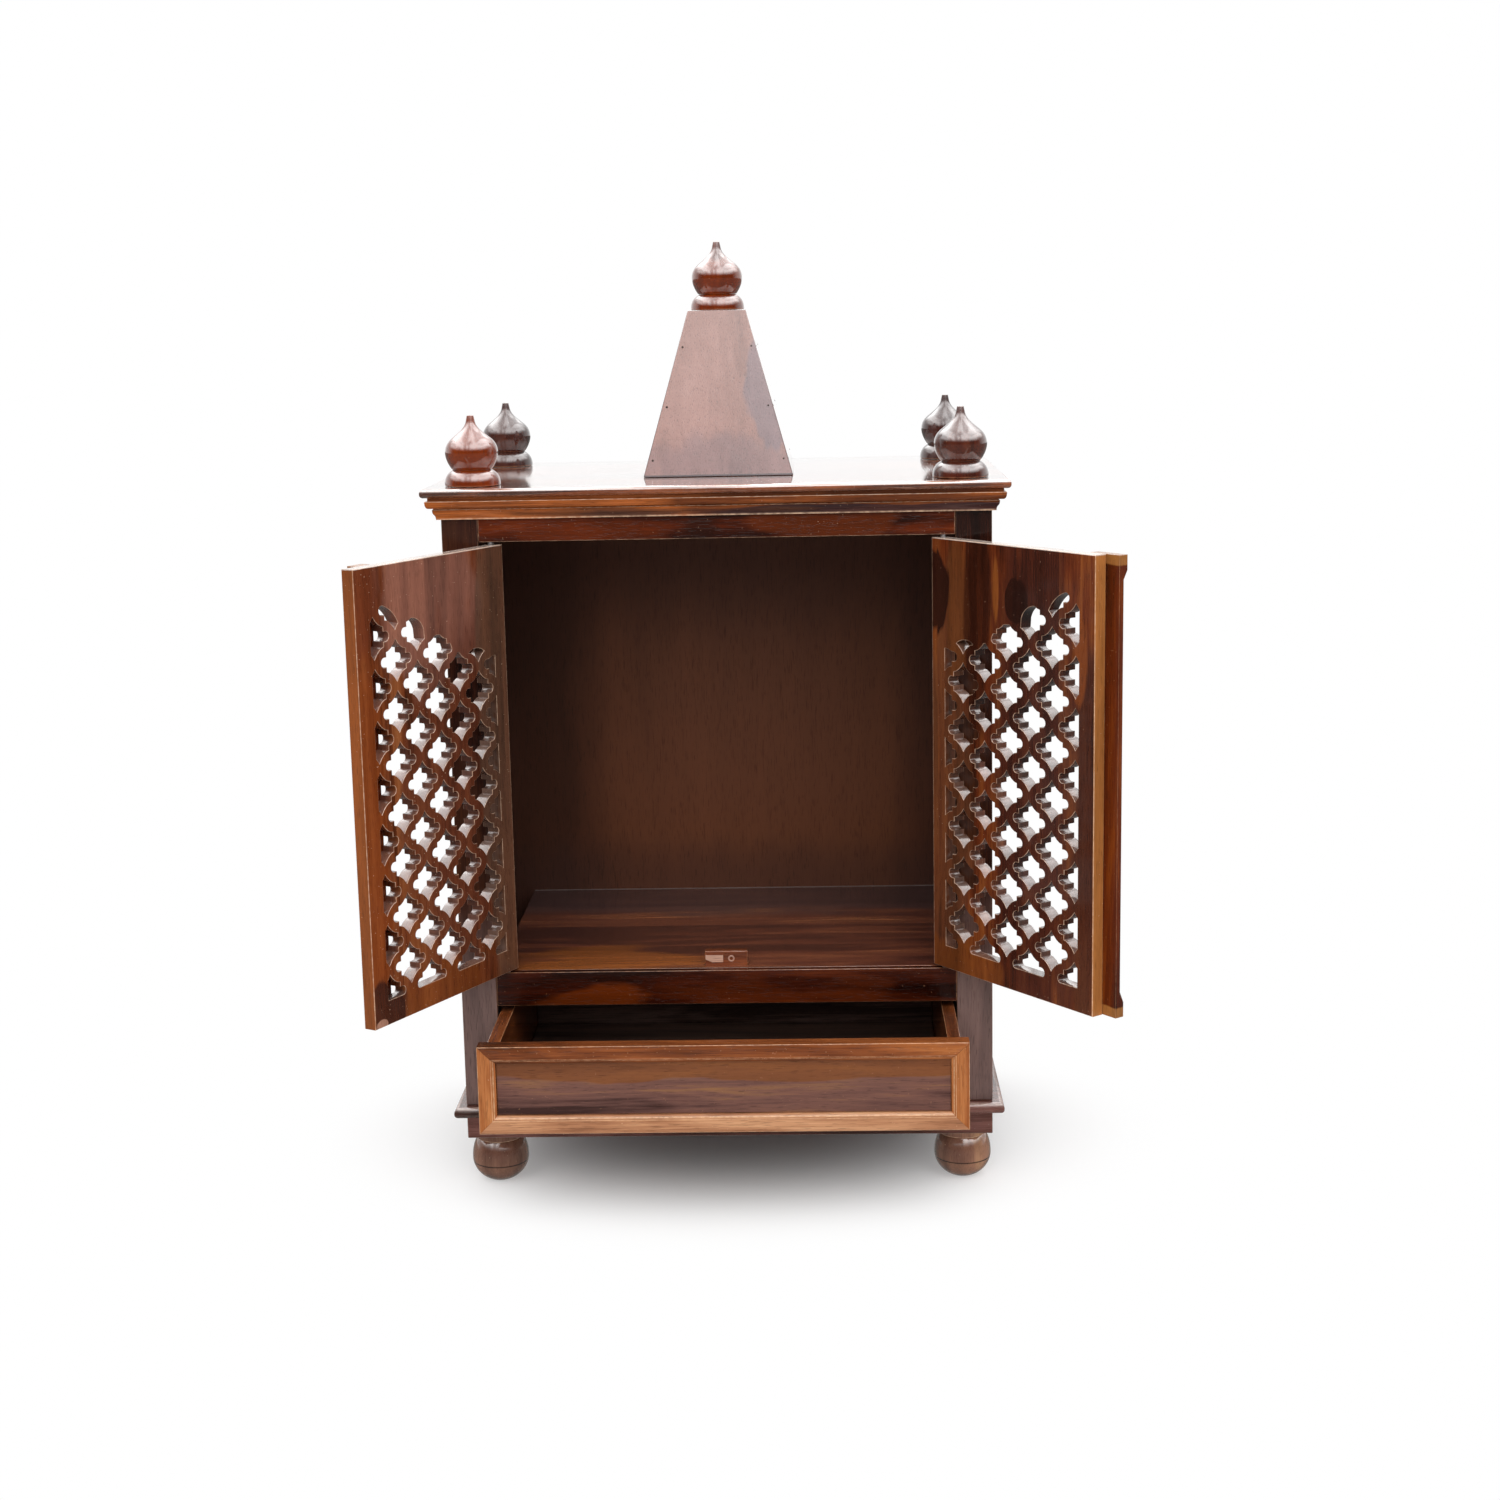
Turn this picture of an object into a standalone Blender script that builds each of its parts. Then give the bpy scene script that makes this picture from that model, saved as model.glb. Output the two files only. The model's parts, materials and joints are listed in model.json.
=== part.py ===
"""Wooden home temple: a cabinet on ball feet with two pierced doors, a drawer and a spire.

Metres, Z up, the front towards -Y. The origin is in the middle of the shelf's top, where the
idols stand. The doors and the drawer stand open.
"""
import math

import bmesh
import bpy
from mathutils import Vector

# Air between pieces that touch
GAP = 0.0003

# Carcass, over the outside of its posts
CARCASS_WIDTH = 0.573
CARCASS_DEPTH = 0.3625
STILE_WIDTH = 0.038
STILE_THICK = 0.020
PANEL_THICK = 0.015
BACK_THICK = 0.008

# Heights of the layers, from the feet up
FOOT_HEIGHT = 0.0558
PLINTH_HEIGHT = 0.0255
BASE_THICK = 0.012
BOTTOM_RAIL = 0.013
DRAWER_OPENING = 0.099
SHELF_RAIL = 0.0375
DOOR_OPENING = 0.466
TOP_RAIL_SHOWN = 0.0245
CORNICE_HEIGHT = 0.0235
ROOF_THICK = 0.009

# Boards that stand past the carcass at the front and the sides
ROOF_OVERHANG = 0.0185
BASE_OVERHANG = 0.012
NOSING_SEGMENTS = 3
ROOF_NOSING = 0.0038
BASE_NOSING = 0.0054

# Cornice: a nosed member over an ogee, with a shadow gap under the roof
CORNICE_THROAT = 0.0115
CORNICE_NOSE = 0.0143
CORNICE_NOSE_LOW = 0.0105
CORNICE_OGEE_TOP = 0.0076
CORNICE_OGEE_LOW = 0.0043
CORNICE_STEPS = 4

# Shelf and its front rail
RAIL_THICK = 0.020
SHELF_THICK = 0.015
SHELF_LIP = 0.009

# Feet: a low ball with a flat sole, under a round collar
FOOT_RADIUS = 0.031
FOOT_SOLE_RADIUS = 0.012
FOOT_INSET = 0.031
BELLY_HEIGHT = 0.0255
FOOT_NECK_RADIUS = 0.0245
COLLAR_RADIUS = 0.0262
COLLAR_HEIGHT = 0.0075
COLLAR_LIP = 0.0012

# Finials: a bell, a neck and an onion that runs out to a blunt tip
FINIAL_HEIGHT = 0.073
FINIAL_RADIUS = 0.0293
FINIAL_INSET = 0.049
BELL_LIP = 0.0018
BELL_HEIGHT = 0.0166
BELL_SHOULDER = 0.0252
NECK_RADIUS = 0.0203
ONION_LOW = 0.0172
ONION_LOW_RADIUS = 0.0210
ONION_LOW_PULL = 0.0243
ONION_FULLNESS = 0.0350
ONION_SHOULDER = 0.0499
ONION_SHOULDER_RADIUS = 0.0196
TIP_LOW = 0.068
TIP_LOW_RADIUS = 0.0046
TIP_RADIUS = 0.0036
TURNING_SEGMENTS = 18

# Spire: a hollow pyramid of four boards
SPIRE_BASE = 0.161
SPIRE_TOP = 0.063
SPIRE_HEIGHT = 0.1755
SPIRE_BOARD = 0.010

# Doors, hung on pins in their top and bottom edges
DOOR_THICK = 0.014
DOOR_PROUD = 0.002
DOOR_ROUND = 0.0035
DOOR_GAP = 0.003
HINGE_GAP = 0.002
MEETING_GAP = 0.005
PIVOT_FROM_EDGE = 0.0105
PIVOT_FROM_FRONT = 0.0055
PIN_RADIUS = 0.003
PIN_DEPTH = 0.009
PIN_CLEARANCE = 0.0001
PIN_SEGMENTS = 16
LEFT_DOOR_OPEN = math.radians(118.5)
RIGHT_DOOR_OPEN = math.radians(127.3)

# Pierced pattern of the doors, pushed a little towards the hinge
FIELD_MARGIN = 0.022
FIELD_BOTTOM = 0.0248
PATTERN_SHIFT = 0.0043
FIRST_ROW = 0.0290
HOLES_ACROSS = 3
HOLE_ROWS = 8
PITCH_HEIGHT = 0.0515
HOLE_WIDTH = 0.0470
HOLE_HEIGHT = 0.0420
LOBE_RADIUS = 0.0049
SHOULDER = 0.0150
SHOULDER_RISE = 0.0099
OGEE_SAG = 0.0008
LOBE_STEPS = 4
CUT_MARGIN = 0.003

# Foils of the arch over the pattern, from the hinge on. Each has its centre from the hinge edge
# and its radius as shares of the leaf's width, and its centre's height as a share of the height.
ARCH_STEPS = 54
FOILS = (
    (0.096, 0.711, 0.075),
    (0.224, 0.726, 0.096),
    (0.355, 0.733, 0.082),
    (0.485, 0.771, 0.103),
    (0.649, 0.831, 0.082),
    (0.874, 0.833, 0.157),
)

# Strips on the fronts of the doors
STRIP_THICK = 0.011
STRIP_EDGE = 0.0055
STRIP_BLOCK = 0.015
STRIP_STOP = 0.009
STRIP_ARRIS = 0.0006
ASTRAGAL_WIDTH = 0.040
ASTRAGAL_OVERHANG = 0.018
BATTEN_WIDTH = 0.022
BATTEN_SETBACK = 0.022

# Drawer
DRAWER_TRAVEL = 0.1085
DRAWER_OVERLAY = 0.005
DRAWER_FACE_HEIGHT = 0.094
DRAWER_FACE_THICK = 0.018
DRAWER_FRAME_WIDTH = 0.0185
DRAWER_BEAD = 0.0035
DRAWER_PANEL_RECESS = 0.006
DRAWER_PANEL_THICK = 0.008
DRAWER_SIDE_THICK = 0.0135
DRAWER_SIDE_GAP = 0.003
DRAWER_SIDE_DROP = 0.002
DRAWER_LENGTH = 0.330
DRAWER_BOTTOM_THICK = 0.005
DRAWER_BOTTOM_RISE = 0.005
RUNNER_GAP = 0.0005

# Catch on the shelf behind the doors
CATCH_WIDTH = 0.046
CATCH_HEIGHT = 0.016
CATCH_DEPTH = 0.012
CATCH_BEHIND_DOOR = 0.006
CATCH_LET_IN = 0.001

# Levels, down and up from the shelf's top
SHELF_Z = 0.0
SHELF_RAIL_Z = SHELF_Z - SHELF_RAIL
DRAWER_Z = SHELF_RAIL_Z - DRAWER_OPENING
CARCASS_Z = DRAWER_Z - BOTTOM_RAIL
BASE_Z = CARCASS_Z - GAP - BASE_THICK
PLINTH_Z = BASE_Z - GAP - PLINTH_HEIGHT
FLOOR_Z = PLINTH_Z - GAP - FOOT_HEIGHT
TOP_RAIL_Z = SHELF_Z + DOOR_OPENING
CORNICE_Z = TOP_RAIL_Z + TOP_RAIL_SHOWN
ROOF_Z = CORNICE_Z + CORNICE_HEIGHT
ROOF_TOP = ROOF_Z + ROOF_THICK

# Places worked out from the sizes
FRONT_Y = -CARCASS_DEPTH / 2
BACK_Y = CARCASS_DEPTH / 2
HALF_WIDTH = CARCASS_WIDTH / 2
HALF_OPENING = HALF_WIDTH - STILE_WIDTH
HALF_INSIDE = HALF_WIDTH - PANEL_THICK
INSIDE_BACK_Y = BACK_Y - BACK_THICK - GAP

DOOR_Z = SHELF_Z + DOOR_GAP
DOOR_HEIGHT = DOOR_OPENING - 2 * DOOR_GAP
DOOR_WIDTH = HALF_OPENING - HINGE_GAP - MEETING_GAP / 2
DOOR_FRONT = -PIVOT_FROM_FRONT
DOOR_BACK = DOOR_THICK - PIVOT_FROM_FRONT
PIVOT_X = HALF_OPENING - HINGE_GAP - PIVOT_FROM_EDGE
PIVOT_Y = FRONT_Y - DOOR_PROUD + PIVOT_FROM_FRONT

WOODS = {
    "dark_wood": ((0.095, 0.045, 0.032), 0.28),
    "red_wood": ((0.210, 0.070, 0.028), 0.26),
    "warm_wood": ((0.300, 0.120, 0.050), 0.30),
    "turned_wood": ((0.240, 0.085, 0.038), 0.16),
    "inside_wood": ((0.050, 0.028, 0.020), 0.45),
}
STEEL = ((0.55, 0.55, 0.57), 0.35)


def clear_scene():
    """Remove whatever the new scene holds."""
    for item in list(bpy.data.objects):
        bpy.data.objects.remove(item, do_unlink=True)


def make_material(name, colour, roughness, metallic=0.0):
    """Return a material of one colour."""
    material = bpy.data.materials.new(name)
    material.use_nodes = True
    shader = material.node_tree.nodes["Principled BSDF"]
    shader.inputs["Base Color"].default_value = (*colour, 1.0)
    shader.inputs["Roughness"].default_value = roughness
    shader.inputs["Metallic"].default_value = metallic
    material.diffuse_color = (*colour, 1.0)
    return material


def add_object(name, mesh_builder, look, parent=None):
    """Turn a bmesh into a named object with a material of its own."""
    bmesh.ops.recalc_face_normals(mesh_builder, faces=mesh_builder.faces)
    mesh = bpy.data.meshes.new(name)
    mesh_builder.to_mesh(mesh)
    mesh_builder.free()
    item = bpy.data.objects.new(name, mesh)
    bpy.context.scene.collection.objects.link(item)
    colour, roughness = look
    mesh.materials.append(make_material(name + "_finish", colour, roughness))
    item.parent = parent
    return item


def add_axis(name, place, turn=0.0):
    """Add an empty on a joint's axis, turned about Z."""
    empty = bpy.data.objects.new(name, None)
    bpy.context.scene.collection.objects.link(empty)
    empty.location = place
    empty.rotation_euler = (0.0, 0.0, turn)
    return empty


def box_mesh(low, high):
    """Return a bmesh box between two corners."""
    mesh_builder = bmesh.new()
    bmesh.ops.create_cube(mesh_builder, size=1.0)
    for vert in mesh_builder.verts:
        for axis in range(3):
            vert.co[axis] = low[axis] if vert.co[axis] < 0 else high[axis]
    return mesh_builder


def add_board(name, low, high, look, parent=None):
    """Add a plain board between two corners."""
    return add_object(name, box_mesh(low, high), look, parent)


def bridge_rings(mesh_builder, rings, closed=False):
    """Join equal rings of vertices with quads, and cap the two ends unless closed."""
    count = len(rings[0])
    pairs = list(zip(rings, rings[1:]))
    if closed:
        pairs.append((rings[-1], rings[0]))
    for first, second in pairs:
        for i in range(count):
            j = (i + 1) % count
            mesh_builder.faces.new((first[i], first[j], second[j], second[i]))
    if not closed:
        mesh_builder.faces.new(rings[0])
        mesh_builder.faces.new(rings[-1])


def arc_points(centre, radii, start, end, steps):
    """Return points along an arc or a part of an ellipse, angles in degrees."""
    points = []
    for i in range(steps + 1):
        angle = math.radians(start + (end - start) * i / steps)
        x = centre[0] + radii[0] * math.cos(angle)
        z = centre[1] + radii[1] * math.sin(angle)
        points.append((x, z))
    return points


def curve_points(start, first_pull, second_pull, end, steps):
    """Return points along a cubic curve, without its first point."""
    points = []
    for i in range(1, steps + 1):
        t = i / steps
        u = 1 - t
        weights = (u ** 3, 3 * u * u * t, 3 * u * t * t, t ** 3)
        corners = (start, first_pull, second_pull, end)
        points.append(tuple(sum(w * c[k] for w, c in zip(weights, corners)) for k in range(2)))
    return points


def add_turning(name, profile, place, look, parent=None):
    """Turn a profile of radius and height pairs about Z."""
    mesh_builder = bmesh.new()
    verts = [mesh_builder.verts.new((radius, 0.0, height)) for radius, height in profile]
    edges = [mesh_builder.edges.new(pair) for pair in zip(verts, verts[1:])]
    bmesh.ops.spin(
        mesh_builder,
        geom=verts + edges,
        cent=(0, 0, 0),
        axis=(0, 0, 1),
        angle=2 * math.pi,
        steps=TURNING_SEGMENTS,
    )
    bmesh.ops.remove_doubles(mesh_builder, verts=mesh_builder.verts, dist=0.00002)
    item = add_object(name, mesh_builder, look, parent)
    item.location = place
    item.data.shade_smooth()
    item.data.set_sharp_from_angle(angle=math.radians(35))
    return item


def finial_profile():
    """Return the outline of an onion finial: bell, groove, onion and blunt tip."""
    lip = (FINIAL_RADIUS, BELL_LIP)
    bell_end = (NECK_RADIUS, BELL_HEIGHT)
    bell = curve_points(
        lip, (FINIAL_RADIUS, BELL_HEIGHT * 0.57), (BELL_SHOULDER, BELL_HEIGHT * 0.86), bell_end, 3
    )
    edge = (ONION_LOW_RADIUS, ONION_LOW)
    shoulder = (ONION_SHOULDER_RADIUS, ONION_SHOULDER)
    rise = ONION_SHOULDER - ONION_LOW
    onion = curve_points(
        edge,
        (ONION_LOW_PULL, ONION_LOW + rise * 0.13),
        (ONION_FULLNESS, ONION_SHOULDER - rise * 0.36),
        shoulder,
        5,
    )
    tip = (TIP_LOW_RADIUS, TIP_LOW)
    taper = TIP_LOW - ONION_SHOULDER
    ogee = curve_points(
        shoulder,
        (ONION_SHOULDER_RADIUS * 0.61, ONION_SHOULDER + taper * 0.33),
        (TIP_LOW_RADIUS * 1.2, TIP_LOW - taper * 0.42),
        tip,
        4,
    )
    return (
        [(0.0, 0.0), (FINIAL_RADIUS, 0.0), lip]
        + bell
        + [(NECK_RADIUS, ONION_LOW), edge]
        + onion
        + ogee
        + [(TIP_RADIUS, FINIAL_HEIGHT), (0.0, FINIAL_HEIGHT)]
    )


def foot_profile():
    """Return the outline of a ball foot under a round collar."""
    low_reach = BELLY_HEIGHT / math.sqrt(1 - (FOOT_SOLE_RADIUS / FOOT_RADIUS) ** 2)
    start = -math.degrees(math.acos(FOOT_SOLE_RADIUS / FOOT_RADIUS))
    lower = arc_points((0.0, BELLY_HEIGHT), (FOOT_RADIUS, low_reach), start, 0, 5)
    collar_z = FOOT_HEIGHT - COLLAR_HEIGHT
    rise = collar_z - BELLY_HEIGHT
    upper = curve_points(
        (FOOT_RADIUS, BELLY_HEIGHT),
        (FOOT_RADIUS, BELLY_HEIGHT + rise * 0.5),
        (FOOT_NECK_RADIUS * 1.12, collar_z - rise * 0.12),
        (FOOT_NECK_RADIUS, collar_z),
        3,
    )
    collar = [
        (COLLAR_RADIUS - COLLAR_LIP, collar_z),
        (COLLAR_RADIUS, collar_z + COLLAR_LIP),
        (COLLAR_RADIUS, FOOT_HEIGHT),
        (0.0, FOOT_HEIGHT),
    ]
    return [(0.0, 0.0)] + lower + upper + collar


def make_feet():
    """Make the four turned feet."""
    for side, side_name in ((-1, "left"), (1, "right")):
        for end, end_name in ((-1, "front"), (1, "back")):
            place = (
                side * (HALF_WIDTH - FOOT_INSET),
                end * (CARCASS_DEPTH / 2 - FOOT_INSET),
                FLOOR_Z,
            )
            add_turning(f"foot_{end_name}_{side_name}", foot_profile(), place, WOODS["turned_wood"])


def make_plinth():
    """Make the four boards of the plinth, butted at the corners."""
    low, high = PLINTH_Z, PLINTH_Z + PLINTH_HEIGHT
    thick = FOOT_INSET * 2
    look = WOODS["dark_wood"]
    for name, y0, y1 in (
        ("plinth_front", FRONT_Y, FRONT_Y + thick),
        ("plinth_back", BACK_Y - thick, BACK_Y),
    ):
        add_board(name, (-HALF_WIDTH, y0, low), (HALF_WIDTH, y1, high), look)
    y0, y1 = FRONT_Y + thick + GAP, BACK_Y - thick - GAP
    inner = HALF_WIDTH - PANEL_THICK
    add_board("plinth_left", (-HALF_WIDTH, y0, low), (-inner, y1, high), look)
    add_board("plinth_right", (inner, y0, low), (HALF_WIDTH, y1, high), look)


def add_nosed_board(name, overhang, low, thick, radius, look):
    """Add a board over the whole carcass, rounded on its front and side edges."""
    outer = HALF_WIDTH + overhang
    front = FRONT_Y - overhang
    mesh_builder = box_mesh((-outer, front, low), (outer, BACK_Y, low + thick))
    edges = []
    for edge in mesh_builder.edges:
        middle = (edge.verts[0].co + edge.verts[1].co) / 2
        flat = abs(edge.verts[0].co.z - edge.verts[1].co.z) < thick / 2
        if flat and middle.y < BACK_Y - overhang:
            edges.append(edge)
    bmesh.ops.bevel(
        mesh_builder,
        geom=edges,
        offset=radius,
        segments=NOSING_SEGMENTS,
        profile=0.5,
        affect="EDGES",
    )
    item = add_object(name, mesh_builder, look)
    item.data.shade_smooth()
    item.data.set_sharp_from_angle(angle=math.radians(35))
    return item


def make_carcass():
    """Make the stiles, rails, panels and boards of the cabinet."""
    dark, red, inside = WOODS["dark_wood"], WOODS["red_wood"], WOODS["inside_wood"]
    top = ROOF_Z - GAP
    stile_back = FRONT_Y + STILE_THICK
    for side, name in ((-1, "left"), (1, "right")):
        xs = sorted((side * HALF_WIDTH, side * HALF_OPENING))
        add_board(
            f"stile_{name}", (xs[0], FRONT_Y, CARCASS_Z), (xs[1], stile_back, top), dark
        )
        xs = sorted((side * HALF_WIDTH, side * HALF_INSIDE))
        add_board(
            f"side_panel_{name}",
            (xs[0], stile_back + GAP, CARCASS_Z),
            (xs[1], INSIDE_BACK_Y, top),
            dark,
        )
    half = HALF_OPENING - GAP
    add_board(
        "bottom_rail",
        (-half, FRONT_Y, CARCASS_Z),
        (half, stile_back, DRAWER_Z),
        dark,
    )
    add_board(
        "back_panel",
        (-HALF_WIDTH, BACK_Y - BACK_THICK, CARCASS_Z),
        (HALF_WIDTH, BACK_Y, top),
        inside,
    )
    make_shelf(red)
    top_rail = add_board(
        "top_rail", (-half, FRONT_Y, TOP_RAIL_Z), (half, FRONT_Y + RAIL_THICK, top), red
    )
    cut_pin_holes(top_rail, TOP_RAIL_Z, 1)


def make_shelf(look):
    """Make the shelf and the rail with a lip in front of it."""
    half = HALF_OPENING - GAP
    lip_y = FRONT_Y + SHELF_LIP
    back_y = FRONT_Y + RAIL_THICK
    seat_z = SHELF_Z - SHELF_THICK - GAP
    outline = [
        (FRONT_Y, SHELF_RAIL_Z),
        (back_y, SHELF_RAIL_Z),
        (back_y, seat_z),
        (lip_y, seat_z),
        (lip_y, SHELF_Z),
        (FRONT_Y, SHELF_Z),
    ]
    mesh_builder = bmesh.new()
    rings = [[mesh_builder.verts.new((x, y, z)) for y, z in outline] for x in (-half, half)]
    bridge_rings(mesh_builder, rings)
    rail = add_object("shelf_rail", mesh_builder, look)
    cut_pin_holes(rail, SHELF_Z, -1)
    add_board(
        "shelf_board",
        (-half, lip_y + GAP, SHELF_Z - SHELF_THICK),
        (half, INSIDE_BACK_Y - GAP, SHELF_Z),
        look,
    )


def pin_mesh(radius, low, high, place=(0.0, 0.0)):
    """Return an upright round pin as a bmesh."""
    mesh_builder = bmesh.new()
    bmesh.ops.create_cone(
        mesh_builder,
        cap_ends=True,
        segments=PIN_SEGMENTS,
        radius1=radius,
        radius2=radius,
        depth=high - low,
    )
    shift = Vector((place[0], place[1], (low + high) / 2))
    bmesh.ops.translate(mesh_builder, verts=mesh_builder.verts, vec=shift)
    return mesh_builder


def add_cutter(name, mesh_builder):
    """Add a hidden shape that cuts others."""
    cutter = add_object(name, mesh_builder, WOODS["inside_wood"])
    cutter.hide_render = True
    cutter.display_type = "WIRE"
    return cutter


def cut_with(item, cutter, operation="DIFFERENCE"):
    """Cut an object with a hidden shape."""
    modifier = item.modifiers.new(cutter.name, "BOOLEAN")
    modifier.object = cutter
    modifier.operation = operation
    modifier.solver = "EXACT"


def cut_pin_holes(rail, face_z, direction):
    """Bore the two blind holes of the door pins into a rail."""
    depth = direction * (PIN_DEPTH + 2 * GAP)
    low, high = sorted((face_z - direction * RAIL_THICK, face_z + depth))
    bore = (PIN_RADIUS + PIN_CLEARANCE) / math.cos(math.pi / PIN_SEGMENTS)
    for side, name in ((-1, "left"), (1, "right")):
        hole = pin_mesh(bore, low, high, (side * PIVOT_X, PIVOT_Y))
        cut_with(rail, add_cutter(f"{rail.name}_bore_{name}", hole))


def make_drawer_bearers():
    """Make the runners under the drawer and the guides beside it."""
    look = WOODS["inside_wood"]
    y0, y1 = FRONT_Y + STILE_THICK + GAP, INSIDE_BACK_Y - GAP
    inner = HALF_OPENING - DRAWER_SIDE_GAP - DRAWER_SIDE_THICK
    outer = HALF_INSIDE - GAP
    guide_top = DRAWER_Z + GAP + 2 * BOTTOM_RAIL
    for side, name in ((-1, "left"), (1, "right")):
        xs = sorted((side * inner, side * outer))
        add_board(f"drawer_runner_{name}", (xs[0], y0, CARCASS_Z), (xs[1], y1, DRAWER_Z), look)
        xs = sorted((side * HALF_OPENING, side * outer))
        add_board(
            f"drawer_guide_{name}", (xs[0], y0, DRAWER_Z + GAP), (xs[1], y1, guide_top), look
        )


def cornice_profile():
    """Return the cornice outline as pairs of reach and height, from the bottom up."""
    ogee_top = CORNICE_HEIGHT * 0.47
    nose_low = CORNICE_HEIGHT * 0.52
    nose_high = CORNICE_HEIGHT * 0.85
    ogee = curve_points(
        (CORNICE_OGEE_LOW, 0.0),
        (CORNICE_OGEE_LOW, ogee_top * 0.6),
        (CORNICE_OGEE_TOP, ogee_top * 0.35),
        (CORNICE_OGEE_TOP, ogee_top),
        CORNICE_STEPS,
    )
    nose = curve_points(
        (CORNICE_NOSE_LOW, nose_low),
        (CORNICE_NOSE * 0.97, nose_low),
        (CORNICE_NOSE, nose_high * 0.85),
        (CORNICE_NOSE, nose_high - GAP * 2),
        CORNICE_STEPS,
    )
    return (
        [(GAP, 0.0), (CORNICE_OGEE_LOW, 0.0)]
        + ogee
        + [(CORNICE_OGEE_TOP, nose_low), (CORNICE_NOSE_LOW, nose_low)]
        + nose
        + [(CORNICE_NOSE - GAP * 2, nose_high), (CORNICE_THROAT, nose_high)]
        + [(CORNICE_THROAT, CORNICE_HEIGHT - GAP), (GAP, CORNICE_HEIGHT - GAP)]
    )


def make_cornice():
    """Make the cornice moulding as three lengths mitred at the front corners."""
    look = WOODS["warm_wood"]
    profile = cornice_profile()
    mesh_builder = bmesh.new()
    rings = []
    for side in (-1, 1):
        rings.append([
            mesh_builder.verts.new(
                (side * (HALF_WIDTH + reach - GAP), FRONT_Y - reach, CORNICE_Z + height)
            )
            for reach, height in profile
        ])
    bridge_rings(mesh_builder, rings)
    add_object("cornice_front", mesh_builder, look)
    for side, name in ((-1, "left"), (1, "right")):
        mesh_builder = bmesh.new()
        front = [
            mesh_builder.verts.new(
                (side * (HALF_WIDTH + reach), FRONT_Y - reach + GAP, CORNICE_Z + height)
            )
            for reach, height in profile
        ]
        back = [
            mesh_builder.verts.new((side * (HALF_WIDTH + reach), BACK_Y, CORNICE_Z + height))
            for reach, height in profile
        ]
        bridge_rings(mesh_builder, [front, back])
        add_object(f"cornice_{name}", mesh_builder, look)


def make_roof():
    """Make the roof board, the corner finials, the spire and its finial."""
    warm, turned = WOODS["warm_wood"], WOODS["turned_wood"]
    add_nosed_board("roof_board", ROOF_OVERHANG, ROOF_Z, ROOF_THICK, ROOF_NOSING, warm)
    floor = ROOF_TOP + GAP
    x = HALF_WIDTH + ROOF_OVERHANG - FINIAL_INSET
    y_front = FRONT_Y - ROOF_OVERHANG + FINIAL_INSET
    y_back = BACK_Y - FINIAL_INSET
    for side, side_name in ((-1, "left"), (1, "right")):
        for y, end_name in ((y_front, "front"), (y_back, "back")):
            place = (side * x, y, floor)
            add_turning(f"finial_{end_name}_{side_name}", finial_profile(), place, turned)
    middle_y = (y_front + y_back) / 2
    make_spire(middle_y, floor)
    place = (0.0, middle_y, floor + SPIRE_HEIGHT + GAP)
    add_turning("spire_finial", finial_profile(), place, turned)


def make_spire(middle_y, floor):
    """Make the four mitred boards of the spire."""
    slope = math.atan2((SPIRE_BASE - SPIRE_TOP) / 2, SPIRE_HEIGHT)
    wall = SPIRE_BOARD / math.cos(slope)
    half = GAP / 2
    for name, turn in (("front", 0), ("right", 90), ("back", 180), ("left", 270)):
        rings = []
        mesh_builder = bmesh.new()
        for width, height in ((SPIRE_BASE, 0.0), (SPIRE_TOP, SPIRE_HEIGHT)):
            outer = width / 2
            inner = outer - wall
            corners = (
                (-outer + half, -outer),
                (outer - half, -outer),
                (inner - half, -inner),
                (-inner + half, -inner),
            )
            rings.append([mesh_builder.verts.new((x, y, height)) for x, y in corners])
        bridge_rings(mesh_builder, rings)
        item = add_object(f"spire_{name}", mesh_builder, WOODS["warm_wood"])
        item.location = (0.0, middle_y, floor)
        item.rotation_euler = (0.0, 0.0, math.radians(turn))


def hole_outline():
    """Return one pierced opening about its own middle: two round lobes and two points."""
    half_width, half_height = HOLE_WIDTH / 2, HOLE_HEIGHT / 2
    lobe_x = half_width - LOBE_RADIUS
    right = arc_points((lobe_x, 0.0), (LOBE_RADIUS, LOBE_RADIUS), -90, 90, LOBE_STEPS)
    flank = (SHOULDER / 2, (SHOULDER_RISE + half_height) / 2 - OGEE_SAG)
    upper = [(SHOULDER, LOBE_RADIUS), (SHOULDER, SHOULDER_RISE), flank, (0.0, half_height)]
    upper_left = [(-x, z) for x, z in reversed(upper[:-1])]
    left = [(-x, -z) for x, z in right]
    lower = [(-x, -z) for x, z in upper + upper_left]
    return right + upper + upper_left + left + lower


def arch_height(along):
    """Return how high the cusped arch is at a distance from the hinge edge, over the leaf's foot."""
    heights = []
    for centre, level, radius in FOILS:
        rise = (radius * DOOR_WIDTH) ** 2 - (along - centre * DOOR_WIDTH) ** 2
        if rise > 0:
            heights.append(level * DOOR_HEIGHT + math.sqrt(rise))
    return max(heights)


def field_outline(side):
    """Return the outline that the pattern is cut to, arched at the top."""
    width = DOOR_WIDTH - 2 * FIELD_MARGIN
    arch = []
    for i in range(ARCH_STEPS + 1):
        along = FIELD_MARGIN + width * i / ARCH_STEPS
        arch.append((side * (PIVOT_FROM_EDGE - along), DOOR_Z + arch_height(along)))
    low = DOOR_Z + FIELD_BOTTOM
    return [(arch[0][0], low)] + arch + [(arch[-1][0], low)]


def prism(mesh_builder, outline, y0, y1):
    """Add an upright prism of an X and Z outline to a bmesh."""
    rings = [[mesh_builder.verts.new((x, y, z)) for x, z in outline] for y in (y0, y1)]
    bridge_rings(mesh_builder, rings)


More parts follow.
